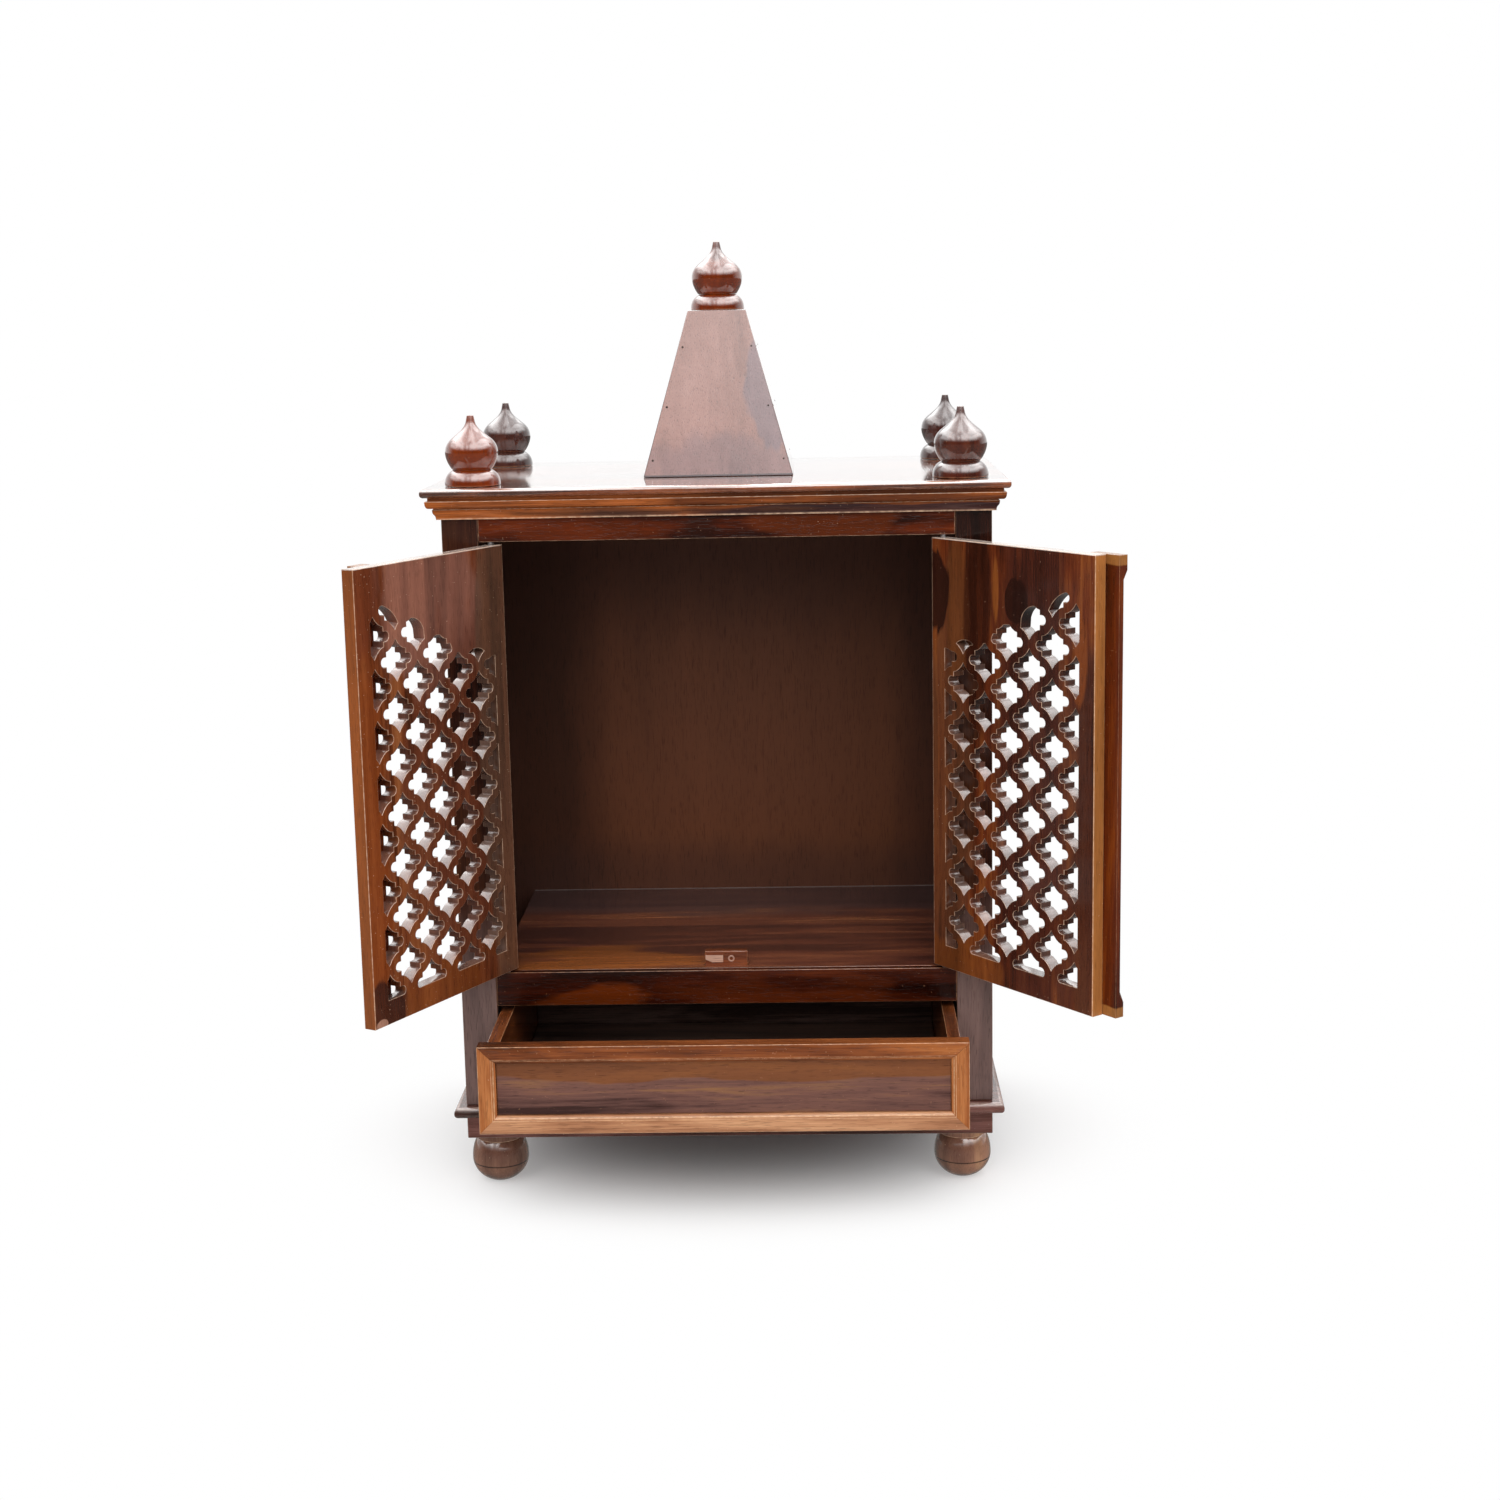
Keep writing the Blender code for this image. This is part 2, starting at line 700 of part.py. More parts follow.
def leaf_mesh(side):
    """Return a plain door leaf about its pins, with its hinge edge rounded."""
    hinge_x = side * PIVOT_FROM_EDGE
    edges = sorted((hinge_x, hinge_x - side * DOOR_WIDTH))
    mesh_builder = box_mesh(
        (edges[0], DOOR_FRONT, DOOR_Z), (edges[1], DOOR_BACK, DOOR_Z + DOOR_HEIGHT)
    )
    arrises = []
    for edge in mesh_builder.edges:
        first, second = (vert.co for vert in edge.verts)
        upright = abs(first.z - second.z) > DOOR_HEIGHT / 2
        if upright and abs(first.x - hinge_x) < GAP:
            arrises.append(edge)
    bmesh.ops.bevel(
        mesh_builder,
        geom=arrises,
        offset=DOOR_ROUND,
        segments=NOSING_SEGMENTS,
        profile=0.5,
        affect="EDGES",
    )
    return mesh_builder


def holes_mesh(side):
    """Return all the openings of a door as prisms, before they are cut to the field."""
    mesh_builder = bmesh.new()
    pitch = (DOOR_WIDTH - 2 * FIELD_MARGIN) / HOLES_ACROSS
    first = FIELD_MARGIN - PATTERN_SHIFT
    outline = hole_outline()
    for column in range(2 * HOLES_ACROSS + 1):
        x = side * (PIVOT_FROM_EDGE - first - column * pitch / 2)
        start = DOOR_Z + FIRST_ROW + (column % 2) * PITCH_HEIGHT / 2
        for row in range(HOLE_ROWS):
            z = start + row * PITCH_HEIGHT
            shape = [(x + dx, z + dz) for dx, dz in outline]
            prism(mesh_builder, shape, DOOR_FRONT - 2 * CUT_MARGIN, DOOR_BACK + 2 * CUT_MARGIN)
    return mesh_builder


def make_jali(side, name, axis):
    """Make a pierced door leaf in its closed place about its pins."""
    leaf = add_object(f"door_{name}_panel", leaf_mesh(side), WOODS["red_wood"], axis)
    field = bmesh.new()
    prism(field, field_outline(side), DOOR_FRONT - CUT_MARGIN, DOOR_BACK + CUT_MARGIN)
    field_cutter = add_cutter(f"door_{name}_field", field)
    hole_cutter = add_cutter(f"door_{name}_holes", holes_mesh(side))
    for cutter in (field_cutter, hole_cutter):
        cutter.parent = axis
    cut_with(hole_cutter, field_cutter, "INTERSECT")
    cut_with(leaf, hole_cutter)


def add_strip(name, x0, x1, axis):
    """Add an upright strip on a door's front with square end blocks and chamfered edges."""
    low, high = DOOR_Z, DOOR_Z + DOOR_HEIGHT
    full, arris = STRIP_THICK, STRIP_ARRIS
    chamfer = full - STRIP_EDGE
    stations = (
        (low, arris),
        (low + STRIP_BLOCK, arris),
        (low + STRIP_BLOCK + STRIP_STOP, chamfer),
        (high - STRIP_BLOCK - STRIP_STOP, chamfer),
        (high - STRIP_BLOCK, arris),
        (high, arris),
    )
    y = DOOR_FRONT - GAP
    mesh_builder = bmesh.new()
    rings = []
    for z, cut in stations:
        outline = (
            (x0, y),
            (x1, y),
            (x1, y - full + cut),
            (x1 - cut, y - full),
            (x0 + cut, y - full),
            (x0, y - full + cut),
        )
        rings.append([mesh_builder.verts.new((px, py, z)) for px, py in outline])
    bridge_rings(mesh_builder, rings)
    return add_object(name, mesh_builder, WOODS["warm_wood"], axis)


def add_pins(name, axis):
    """Add the two pins that a door turns on."""
    top = DOOR_Z + DOOR_HEIGHT + GAP
    reach = DOOR_GAP + PIN_DEPTH - GAP
    bottom = DOOR_Z - GAP
    add_object(f"door_{name}_pin_top", pin_mesh(PIN_RADIUS, top, top + reach), STEEL, axis)
    add_object(f"door_{name}_pin_bottom", pin_mesh(PIN_RADIUS, bottom - reach, bottom), STEEL, axis)


def make_doors():
    """Make both doors about their pins, standing open."""
    left = add_axis("door_left_axis", (-PIVOT_X, PIVOT_Y, 0.0), -LEFT_DOOR_OPEN)
    right = add_axis("door_right_axis", (PIVOT_X, PIVOT_Y, 0.0), RIGHT_DOOR_OPEN)
    make_jali(-1, "left", left)
    make_jali(1, "right", right)
    add_pins("left", left)
    add_pins("right", right)
    free = DOOR_WIDTH - PIVOT_FROM_EDGE
    edge = free - BATTEN_SETBACK
    add_strip("door_left_batten", edge - BATTEN_WIDTH, edge, left)
    outer = -free - ASTRAGAL_OVERHANG
    add_strip("door_right_astragal", outer, outer + ASTRAGAL_WIDTH, right)


def make_drawer():
    """Make the drawer, pulled out."""
    axis = add_axis("drawer_axis", (0.0, FRONT_Y - DRAWER_TRAVEL, DRAWER_Z + RUNNER_GAP))
    make_drawer_face(axis)
    inside = WOODS["inside_wood"]
    half = HALF_OPENING - DRAWER_SIDE_GAP
    inner = half - DRAWER_SIDE_THICK
    side_height = DRAWER_FACE_HEIGHT - DRAWER_SIDE_DROP
    start = GAP
    for side, name in ((-1, "left"), (1, "right")):
        xs = sorted((side * half, side * inner))
        add_board(
            f"drawer_side_{name}",
            (xs[0], start, 0.0),
            (xs[1], DRAWER_LENGTH, side_height),
            WOODS["warm_wood"],
            axis,
        )
    width = inner - GAP
    back = DRAWER_LENGTH - DRAWER_SIDE_THICK
    add_board(
        "drawer_back", (-width, back, 0.0), (width, DRAWER_LENGTH, side_height), inside, axis
    )
    floor = DRAWER_BOTTOM_RISE
    add_board(
        "drawer_bottom",
        (-width, start, floor),
        (width, back - GAP, floor + DRAWER_BOTTOM_THICK),
        inside,
        axis,
    )


def frame_profile():
    """Return the drawer frame's section as pairs of inset and depth, with a bead inside."""
    bead = arc_points(
        (DRAWER_FRAME_WIDTH, 0.0), (DRAWER_BEAD, DRAWER_BEAD), 180, 90, 3
    )
    front = [(0.0, 0.0)] + bead
    return front + [(DRAWER_FRAME_WIDTH, DRAWER_FACE_THICK), (0.0, DRAWER_FACE_THICK)]


def make_drawer_face(axis):
    """Make the mitred frame and the sunk panel of the drawer's front."""
    half_width = HALF_OPENING + DRAWER_OVERLAY
    front = -DRAWER_FACE_THICK - RUNNER_GAP
    mesh_builder = bmesh.new()
    rings = []
    for inset, depth in frame_profile():
        x = half_width - inset
        low, high = inset, DRAWER_FACE_HEIGHT - inset
        corners = ((-x, low), (x, low), (x, high), (-x, high))
        rings.append([mesh_builder.verts.new((cx, front + depth, cz)) for cx, cz in corners])
    bridge_rings(mesh_builder, rings, closed=True)
    add_object("drawer_front_frame", mesh_builder, WOODS["warm_wood"], axis)
    inset = DRAWER_FRAME_WIDTH + GAP
    x = half_width - inset
    y = front + DRAWER_PANEL_RECESS
    add_board(
        "drawer_front_panel",
        (-x, y, inset),
        (x, y + DRAWER_PANEL_THICK, DRAWER_FACE_HEIGHT - inset),
        WOODS["red_wood"],
        axis,
    )


def make_catch():
    """Make the catch block behind the doors, let a little way into the shelf."""
    y = PIVOT_Y + DOOR_BACK + CATCH_BEHIND_DOOR
    half = CATCH_WIDTH / 2
    seat_z = SHELF_Z - CATCH_LET_IN
    housing = box_mesh(
        (-half - GAP, y - GAP, seat_z),
        (half + GAP, y + CATCH_DEPTH + GAP, SHELF_Z + CUT_MARGIN),
    )
    cut_with(bpy.data.objects["shelf_board"], add_cutter("catch_housing", housing))
    add_board(
        "catch_block",
        (-half, y, seat_z + GAP),
        (half, y + CATCH_DEPTH, SHELF_Z + CATCH_HEIGHT),
        WOODS["dark_wood"],
    )


def main():
    """Build the temple from the floor up."""
    clear_scene()
    make_feet()
    make_plinth()
    dark = WOODS["dark_wood"]
    add_nosed_board("base_board", BASE_OVERHANG, BASE_Z, BASE_THICK, BASE_NOSING, dark)
    make_carcass()
    make_drawer_bearers()
    make_catch()
    make_cornice()
    make_roof()
    make_doors()
    make_drawer()


main()
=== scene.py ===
"""Dressed model of a small wooden home temple with pierced doors, a drawer and a spire.

Metres, Z up, the front towards -Y. The origin is in the middle of the shrine shelf's top.
"""
import json
import logging
import math
from dataclasses import dataclass, field, replace
from enum import Enum
from functools import cache, partialmethod
from typing import Iterable, Sequence

import bmesh
import bpy
from mathutils import Matrix, Vector
from mathutils.geometry import delaunay_2d_cdt


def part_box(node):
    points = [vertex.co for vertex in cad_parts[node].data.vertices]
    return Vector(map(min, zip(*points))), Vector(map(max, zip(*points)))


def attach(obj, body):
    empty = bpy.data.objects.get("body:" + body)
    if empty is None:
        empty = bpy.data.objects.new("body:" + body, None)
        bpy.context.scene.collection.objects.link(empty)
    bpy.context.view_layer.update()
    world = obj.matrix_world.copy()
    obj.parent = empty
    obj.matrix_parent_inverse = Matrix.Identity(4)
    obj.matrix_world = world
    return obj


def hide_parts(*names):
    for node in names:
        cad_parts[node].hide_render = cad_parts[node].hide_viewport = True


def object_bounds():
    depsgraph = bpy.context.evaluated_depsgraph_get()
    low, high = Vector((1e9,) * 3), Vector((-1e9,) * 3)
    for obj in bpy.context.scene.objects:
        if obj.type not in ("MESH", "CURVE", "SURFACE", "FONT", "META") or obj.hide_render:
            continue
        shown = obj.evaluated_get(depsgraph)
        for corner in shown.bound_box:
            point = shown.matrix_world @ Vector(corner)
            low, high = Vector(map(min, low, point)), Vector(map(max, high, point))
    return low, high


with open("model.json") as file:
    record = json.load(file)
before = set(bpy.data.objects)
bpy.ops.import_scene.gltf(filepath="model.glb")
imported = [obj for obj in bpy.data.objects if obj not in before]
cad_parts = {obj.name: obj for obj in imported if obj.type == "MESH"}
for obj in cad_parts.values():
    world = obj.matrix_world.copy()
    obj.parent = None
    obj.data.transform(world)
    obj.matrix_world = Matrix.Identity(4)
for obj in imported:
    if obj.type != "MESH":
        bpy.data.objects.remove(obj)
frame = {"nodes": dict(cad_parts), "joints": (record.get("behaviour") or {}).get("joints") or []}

CAD_LOW, CAD_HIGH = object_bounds()
LOG = logging.getLogger("temple")

Pair = tuple[float, float]
Triple = tuple[float, float, float]
Outline = tuple[list[Pair], list[Pair]]
Shape = bmesh.types.BMesh
Ring = list[bmesh.types.BMVert]

ARRIS_STEPS = 2
TURNING_STEPS = 64
SMOOTH_ANGLE = math.radians(38)
SHARP_ANGLE = math.radians(25)
FLAT_ANGLE = math.radians(0.5)
MERGE_DISTANCE = 0.00001
SHORTEST_EDGE = 0.004
KEEP_INSIDE = 1
CUT_NEAR, FACE_NEAR = 1e-7, 1e-9


def linear(code: str) -> Triple:
    """Turn a colour as painted, such as #8b4513, into the light values a shader takes."""
    shares = [int(code[i:i + 2], 16) / 255 for i in (1, 3, 5)]
    return tuple(s / 12.92 if s < 0.04045 else ((s + 0.055) / 1.055) ** 2.4 for s in shares)


class Value:
    """A node's output, worked on with Python's own operators."""

    def __init__(self, nodes: "Nodes", socket: bpy.types.NodeSocket) -> None:
        """Keep the socket and the tree that it is in."""
        self.nodes = nodes
        self.socket = socket

    def work(self, operation: str, *others: "Number") -> "Value":
        """Add a Math node that takes this value first."""
        operands = dict(enumerate((self, *others)))
        return self.nodes.add("ShaderNodeMath", operands, operation=operation)

    __add__ = __radd__ = partialmethod(work, "ADD")
    __sub__ = partialmethod(work, "SUBTRACT")
    __mul__ = __rmul__ = partialmethod(work, "MULTIPLY")
    __truediv__ = partialmethod(work, "DIVIDE")
    floor = partialmethod(work, "FLOOR")
    sine = partialmethod(work, "SINE")
    at_least = partialmethod(work, "MAXIMUM")

    def __rsub__(self, other: float) -> "Value":
        """Subtract from a plain number."""
        return self.work("MULTIPLY_ADD", -1.0, other)

    def step(self, low: float, high: float) -> "Value":
        """Rise softly from 0 at low to 1 at high."""
        inputs = {"Value": self, "From Min": low, "From Max": high}
        return self.nodes.add("ShaderNodeMapRange", inputs, interpolation_type="SMOOTHSTEP")


Number = float | Value


class Nodes:
    """A node tree, filled node by node."""

    def __init__(self, tree: bpy.types.NodeTree) -> None:
        """Keep the tree."""
        self.tree = tree

    def add(
        self, kind: str, inputs: dict | None = None, output: int | str = 0, **settings: object
    ) -> Value:
        """Add a node.

        Args:
            kind: The node's type.
            inputs: A value or a link for each socket, by name or number.
            output: The socket to hand on.
            settings: The node's properties.

        Returns:
            The output.
        """
        node = self.tree.nodes.new(kind)
        for key, value in settings.items():
            setattr(node, key, value)
        self.fill(node, inputs or {})
        return Value(self, node.outputs[output])

    def fill(self, node: bpy.types.Node, inputs: dict) -> None:
        """Link or set sockets of a node.

        Args:
            node: The node.
            inputs: A value or a link for each socket, by name or number.
        """
        for key, value in inputs.items():
            if isinstance(value, Value):
                self.tree.links.new(value.socket, node.inputs[key])
            else:
                node.inputs[key].default_value = value


class Paint(Nodes):
    """The nodes of one material or world."""

    def __init__(
        self, owner: bpy.types.Material | bpy.types.World, shader: str = "Principled BSDF"
    ) -> None:
        """Turn the owner's nodes on and find its shader.

        Args:
            owner: The material or world.
            shader: The name of its shader's node.
        """
        owner.use_nodes = True
        super().__init__(owner.node_tree)
        self.owner = owner
        self.shader = self.tree.nodes[shader]

    def feed(self, inputs: dict[str, object]) -> None:
        """Link or set sockets of the shader."""
        self.fill(self.shader, inputs)

    def attribute(self, name: str, output: str) -> Value:
        """Read a named value off the mesh."""
        return self.add("ShaderNodeAttribute", output=output, attribute_name=name)

    def split(self, vector: Value) -> list[Value]:
        """Take a vector apart."""
        node = self.add("ShaderNodeSeparateXYZ", {0: vector}).socket.node
        return [Value(self, socket) for socket in node.outputs]

    def join(self, *parts: Number) -> Value:
        """Put a vector together."""
        return self.add("ShaderNodeCombineXYZ", dict(enumerate(parts)))

    def noise(self, place: Value, scale: float, detail: float = 2.0, rough: float = 0.5) -> Value:
        """Return soft noise between 0 and 1."""
        inputs = {"Vector": place, "Scale": scale, "Detail": detail, "Roughness": rough}
        return self.add("ShaderNodeTexNoise", inputs)

    def ramp(self, place: Value, stops: Iterable[tuple[float, str]]) -> Value:
        """Return a colour that changes with a value.

        Args:
            place: The value.
            stops: Places on the ramp from 0 to 1 and their colours.

        Returns:
            The colour.
        """
        colour = self.add("ShaderNodeValToRGB", {"Fac": place})
        elements = colour.socket.node.color_ramp.elements
        for number, (position, code) in enumerate(stops):
            element = elements[number] if number < len(elements) else elements.new(position)
            element.position = position
            element.color = (*linear(code), 1.0)
        return colour

    def blend(self, share: Number, first: Value | Triple, second: Value | Triple) -> Value:
        """Mix two colours."""
        pair = [v if isinstance(v, Value) else (*v, 1.0) for v in (first, second)]
        inputs = {0: share, 6: pair[0], 7: pair[1]}
        return self.add("ShaderNodeMix", inputs, 2, data_type="RGBA", blend_type="MIX")

    def dim(self, colour: Value | Triple, amount: Number) -> Value:
        """Make a colour darker or lighter by a value."""
        return self.add("ShaderNodeVectorMath", {0: colour, "Scale": amount}, operation="SCALE")

    def bump(self, height: Value, depth: float, strength: float) -> None:
        """Feed the shader's Normal from a height."""
        inputs = {"Strength": strength, "Distance": depth, "Height": height}
        self.feed({"Normal": self.add("ShaderNodeBump", inputs)})


@dataclass(frozen=True)
class Pattern:
    """A noise drawn out along the grain."""

    stretch: float
    scale: float
    detail: float = 2.0
    rough: float = 0.5

    def lay(self, paint: Paint, across: Value, through: Value, along: Value) -> Value:
        """Return the noise at a place in the grain."""
        place = paint.join(across, through, along * self.stretch)
        return paint.noise(place, self.scale, self.detail, self.rough)


@dataclass(frozen=True)
class StainAndLight:
    """A patch of another colour on the wood, in shares of the piece's width and length: real colour
    in the wood at some finishes, painted shade, painted highlight or painted reflection at others,
    as noted at each finish.
    """

    across: float
    along: float
    half_across: float
    half_along: float
    colour: str
    share: float
    soft: float
    wander: float

    FRAY = 4.0
    SHOWN = (0.7, 0.6)

    def lay(self, paint: Paint, colour: Value, edge: Value, tone: Value) -> Value:
        """Lay the patch over the wood's colour.

        Args:
            paint: The material.
            colour: The colour under it.
            edge: The noise that frays its edge.
            tone: The wood's tone, which shows through.

        Returns:
            The colour with the patch.
        """
        u, _, w = paint.split(paint.attribute("place", "Vector"))
        du = (u - self.across) / self.half_across
        dw = (w - self.along) / self.half_along
        away = du * du + dw * dw + (edge - 0.5) * self.wander * self.FRAY
        mask = (1.0 - away.step(1.0 - self.soft, 1.0 + self.soft)) * self.share
        patch = paint.dim(linear(self.colour), self.SHOWN[0] + tone * self.SHOWN[1])
        return paint.blend(mask, colour, patch)


@dataclass(frozen=True)
class Wood:
    """A stained and lacquered rosewood, read from the grain coordinates of each piece."""

    tones: str = ""
    heart: float = 0.35
    figure: float = 1.0
    contrast: float = 1.0
    plank: float = 0.0
    plank_change: float = 0.3
    gloss: float = 0.20
    coat: float = 0.5
    coat_ior: float = 1.5
    specular: float = 0.3
    wear_and_sheen: float = 0.6
    flecks: float = 0.25
    ripple: float = 0.6
    # colour of rubbed edges and flecks; on the moulding and the drawer frame it is lightened to
    # paint highlight on the edges too
    worn_and_lit: str = "#b98662"
    # colour of the painted highlight on opening walls that face up
    walls: str = ""
    stains_and_light: tuple[StainAndLight, ...] = ()

    TONE_PLACES = (0.15, 0.42, 0.66, 0.92)
    PLANK_SHIFT = (1.37, 2.71)
    BEND, SWAY = Pattern(0.35, 5.0), 0.05
    FLOW, FLOW_DEPTH = Pattern(0.14, 15.0), 1.7
    RINGS, RING_DEPTH = 70.0, 0.14
    STREAKS, STREAK_DEPTH = Pattern(0.05, 75.0, 5.0, 0.6), 1.2
    FIBRES, FIBRE_DEPTH = Pattern(0.025, 700.0), 0.5
    PORES, PORE_EDGE, PORE_DEPTH = Pattern(0.05, 1400.0, 1.0), (0.60, 0.68), 0.34
    HEARTS, HEART_SWAY = Pattern(0.22, 9.0, 3.0, 0.55), 1.6
    HEART_LOW, HEART_HIGH = (0.72, 0.30), (0.76, 0.20)
    HEART_SHARE, HEART_DARK = 0.8, 0.36
    FRAY = Pattern(0.25, 32.0, 3.0)
    # shares of painted highlight and painted shade on the opening walls, and how dark the painted
    # shade is
    WALL_UPPER, WALL_UNDER, WALL_DARK = 0.4, 0.8, 0.3
    PATCHES, PATCH_EDGE = (160.0, 3.0, 0.6), (0.35, 0.65)
    SPECKS, SPECK_EDGE = (420.0, 1.0), (0.74, 0.79)
    SMUDGES, SMUDGE_CHANGE, FIBRE_CHANGE = (14.0, 3.0, 0.6), 0.14, 0.06
    COAT_ROUGHNESS = 0.07
    WAVES, WAVE_HEIGHT = (70.0, 2.0), 4.0
    FIBRE_HEIGHT, STREAK_HEIGHT, PORE_HEIGHT = 0.4, 0.5, 0.8
    BUMP_DEPTH, BUMP_STRENGTH = 0.0002, 0.5

    def material(self, name: str) -> bpy.types.Material:
        """Build the material.

        Args:
            name: Its name, without the word wood.

        Returns:
            The finished material.
        """
        paint = Paint(bpy.data.materials.new(name + "_wood"))
        grain = paint.attribute("grain", "Vector")
        across, through, along = paint.split(grain)
        plank_tone: Number = 0.0
        if self.plank:
            number = (across / self.plank).floor()
            across = across + number * self.PLANK_SHIFT[0]
            along = along + number * self.PLANK_SHIFT[1]
            chance = paint.add("ShaderNodeTexWhiteNoise", {"W": number}, noise_dimensions="1D")
            plank_tone = (chance - 0.5) * self.plank_change
        place = (paint, across, through, along)
        sway = across + (self.BEND.lay(*place) - 0.5) * self.SWAY
        swayed = (paint, sway, through, along)
        flow = self.FLOW.lay(*swayed)
        rings = (flow * self.RINGS).sine() * 0.5 + 0.5
        streaks = self.STREAKS.lay(*swayed)
        fibres = self.FIBRES.lay(*place)
        pores = self.PORES.lay(*place).step(*self.PORE_EDGE)
        tone = 0.5 + (flow - 0.5) * self.FLOW_DEPTH * self.figure
        tone = tone + (rings - 0.5) * self.RING_DEPTH * self.figure
        tone = tone + (streaks - 0.5) * self.STREAK_DEPTH * self.contrast
        tone = tone + (fibres - 0.5) * self.FIBRE_DEPTH * self.contrast + plank_tone
        colour = paint.ramp(tone, zip(self.TONE_PLACES, self.tones.split()))
        heart = self.HEARTS.lay(paint, sway * self.HEART_SWAY, through, along)
        edges = [level - self.heart * fall for level, fall in (self.HEART_LOW, self.HEART_HIGH)]
        heart = heart.step(*edges)
        colour = paint.blend(heart * self.HEART_SHARE, colour, paint.dim(colour, self.HEART_DARK))
        edge = self.FRAY.lay(*place)
        for overlay in self.stains_and_light:
            colour = overlay.lay(paint, colour, edge, tone)
        if self.walls:
            colour = self._paint_wall_light(paint, colour, streaks)
        colour = paint.dim(colour, 1.0 - pores * self.PORE_DEPTH)
        patch = paint.noise(grain, *self.PATCHES).step(*self.PATCH_EDGE)
        # pale rubbed edges, which on the moulding and the drawer frame also stand for painted
        # highlight
        wear_and_sheen = paint.attribute("arris", "Fac") * (patch * 0.6 + 0.4) * self.wear_and_sheen
        specks = paint.noise(grain, *self.SPECKS).step(*self.SPECK_EDGE) * self.flecks
        for share in (wear_and_sheen, specks):
            colour = paint.blend(share, colour, linear(self.worn_and_lit))
        smudge = (paint.noise(grain, *self.SMUDGES) - 0.5) * self.SMUDGE_CHANGE
        paint.feed({
            "Base Color": colour,
            "Roughness": self.gloss + smudge + (fibres - 0.5) * self.FIBRE_CHANGE,
            "Coat Weight": self.coat,
            "Coat Roughness": self.COAT_ROUGHNESS,
            "Coat IOR": self.coat_ior,
            "Specular IOR Level": self.specular,
        })
        height = paint.noise(grain, *self.WAVES) * (self.ripple * self.WAVE_HEIGHT)
        height = height + fibres * self.FIBRE_HEIGHT + streaks * self.STREAK_HEIGHT
        height = height - pores * self.PORE_HEIGHT
        paint.bump(height, self.BUMP_DEPTH, self.BUMP_STRENGTH)
        return paint.owner

    def _paint_wall_light(self, paint: Paint, colour: Value, streaks: Value) -> Value:
        """Paint highlight on the walls of the openings that face up and paint shade on those that
        face down.

        Args:
            paint: The material.
            colour: The colour so far.
            streaks: The streaks of the grain.

        Returns:
            The new colour.
        """
        # the cut layer tells how far each opening wall faces up or down; it drives painted
        # highlight and painted shade
        facing = paint.attribute("cut", "Fac")
        upper, under = facing.at_least(0.0), (facing * -1.0).at_least(0.0)
        pale = paint.dim(linear(self.walls), 0.75 + streaks * 0.5)
        colour = paint.blend(upper * self.WALL_UPPER, colour, pale)
        dark = paint.dim(colour, self.WALL_DARK)
        return paint.blend(under * self.WALL_UNDER, colour, dark)


@dataclass(frozen=True)
class Metal:
    """A plain metal with fine scratches."""

    colour: str
    roughness: float = 0.35

    def material(self, name: str) -> bpy.types.Material:
        """Build the material.

        Args:
            name: Its name.

        Returns:
            The finished material.
        """
        paint = Paint(bpy.data.materials.new(name))
        place = paint.add("ShaderNodeTexCoord", output="Object")
        scratches = paint.noise(place, 900.0, 3.0, 0.7)
        spots = paint.noise(place, 180.0, 3.0, 0.6)
        paint.feed({
            "Base Color": paint.dim(linear(self.colour), 0.75 + spots * 0.5),
            "Metallic": 1.0,
            "Roughness": self.roughness + (scratches - 0.5) * 0.3,
        })
        paint.bump(scratches, 0.0001, 0.4)
        return paint.owner


TURNED_BASE = Wood(
    figure=0.6, contrast=0.35, gloss=0.08, coat=1.0, coat_ior=1.55, specular=0.4, wear_and_sheen=0.5,
    flecks=0.6, ripple=0.5,
)
FRAME_BASE = Wood(heart=0.06, figure=0.8, wear_and_sheen=0.9, worn_and_lit="#cf9c74", coat=0.2, flecks=0.4)
LEAF_BASE = Wood(
    # pale colour here is the painted highlight on the upward-facing opening walls
    contrast=1.1, figure=0.9, gloss=0.15, walls="#8a7268", wear_and_sheen=0.9, worn_and_lit="#d6b296", flecks=0.5
)


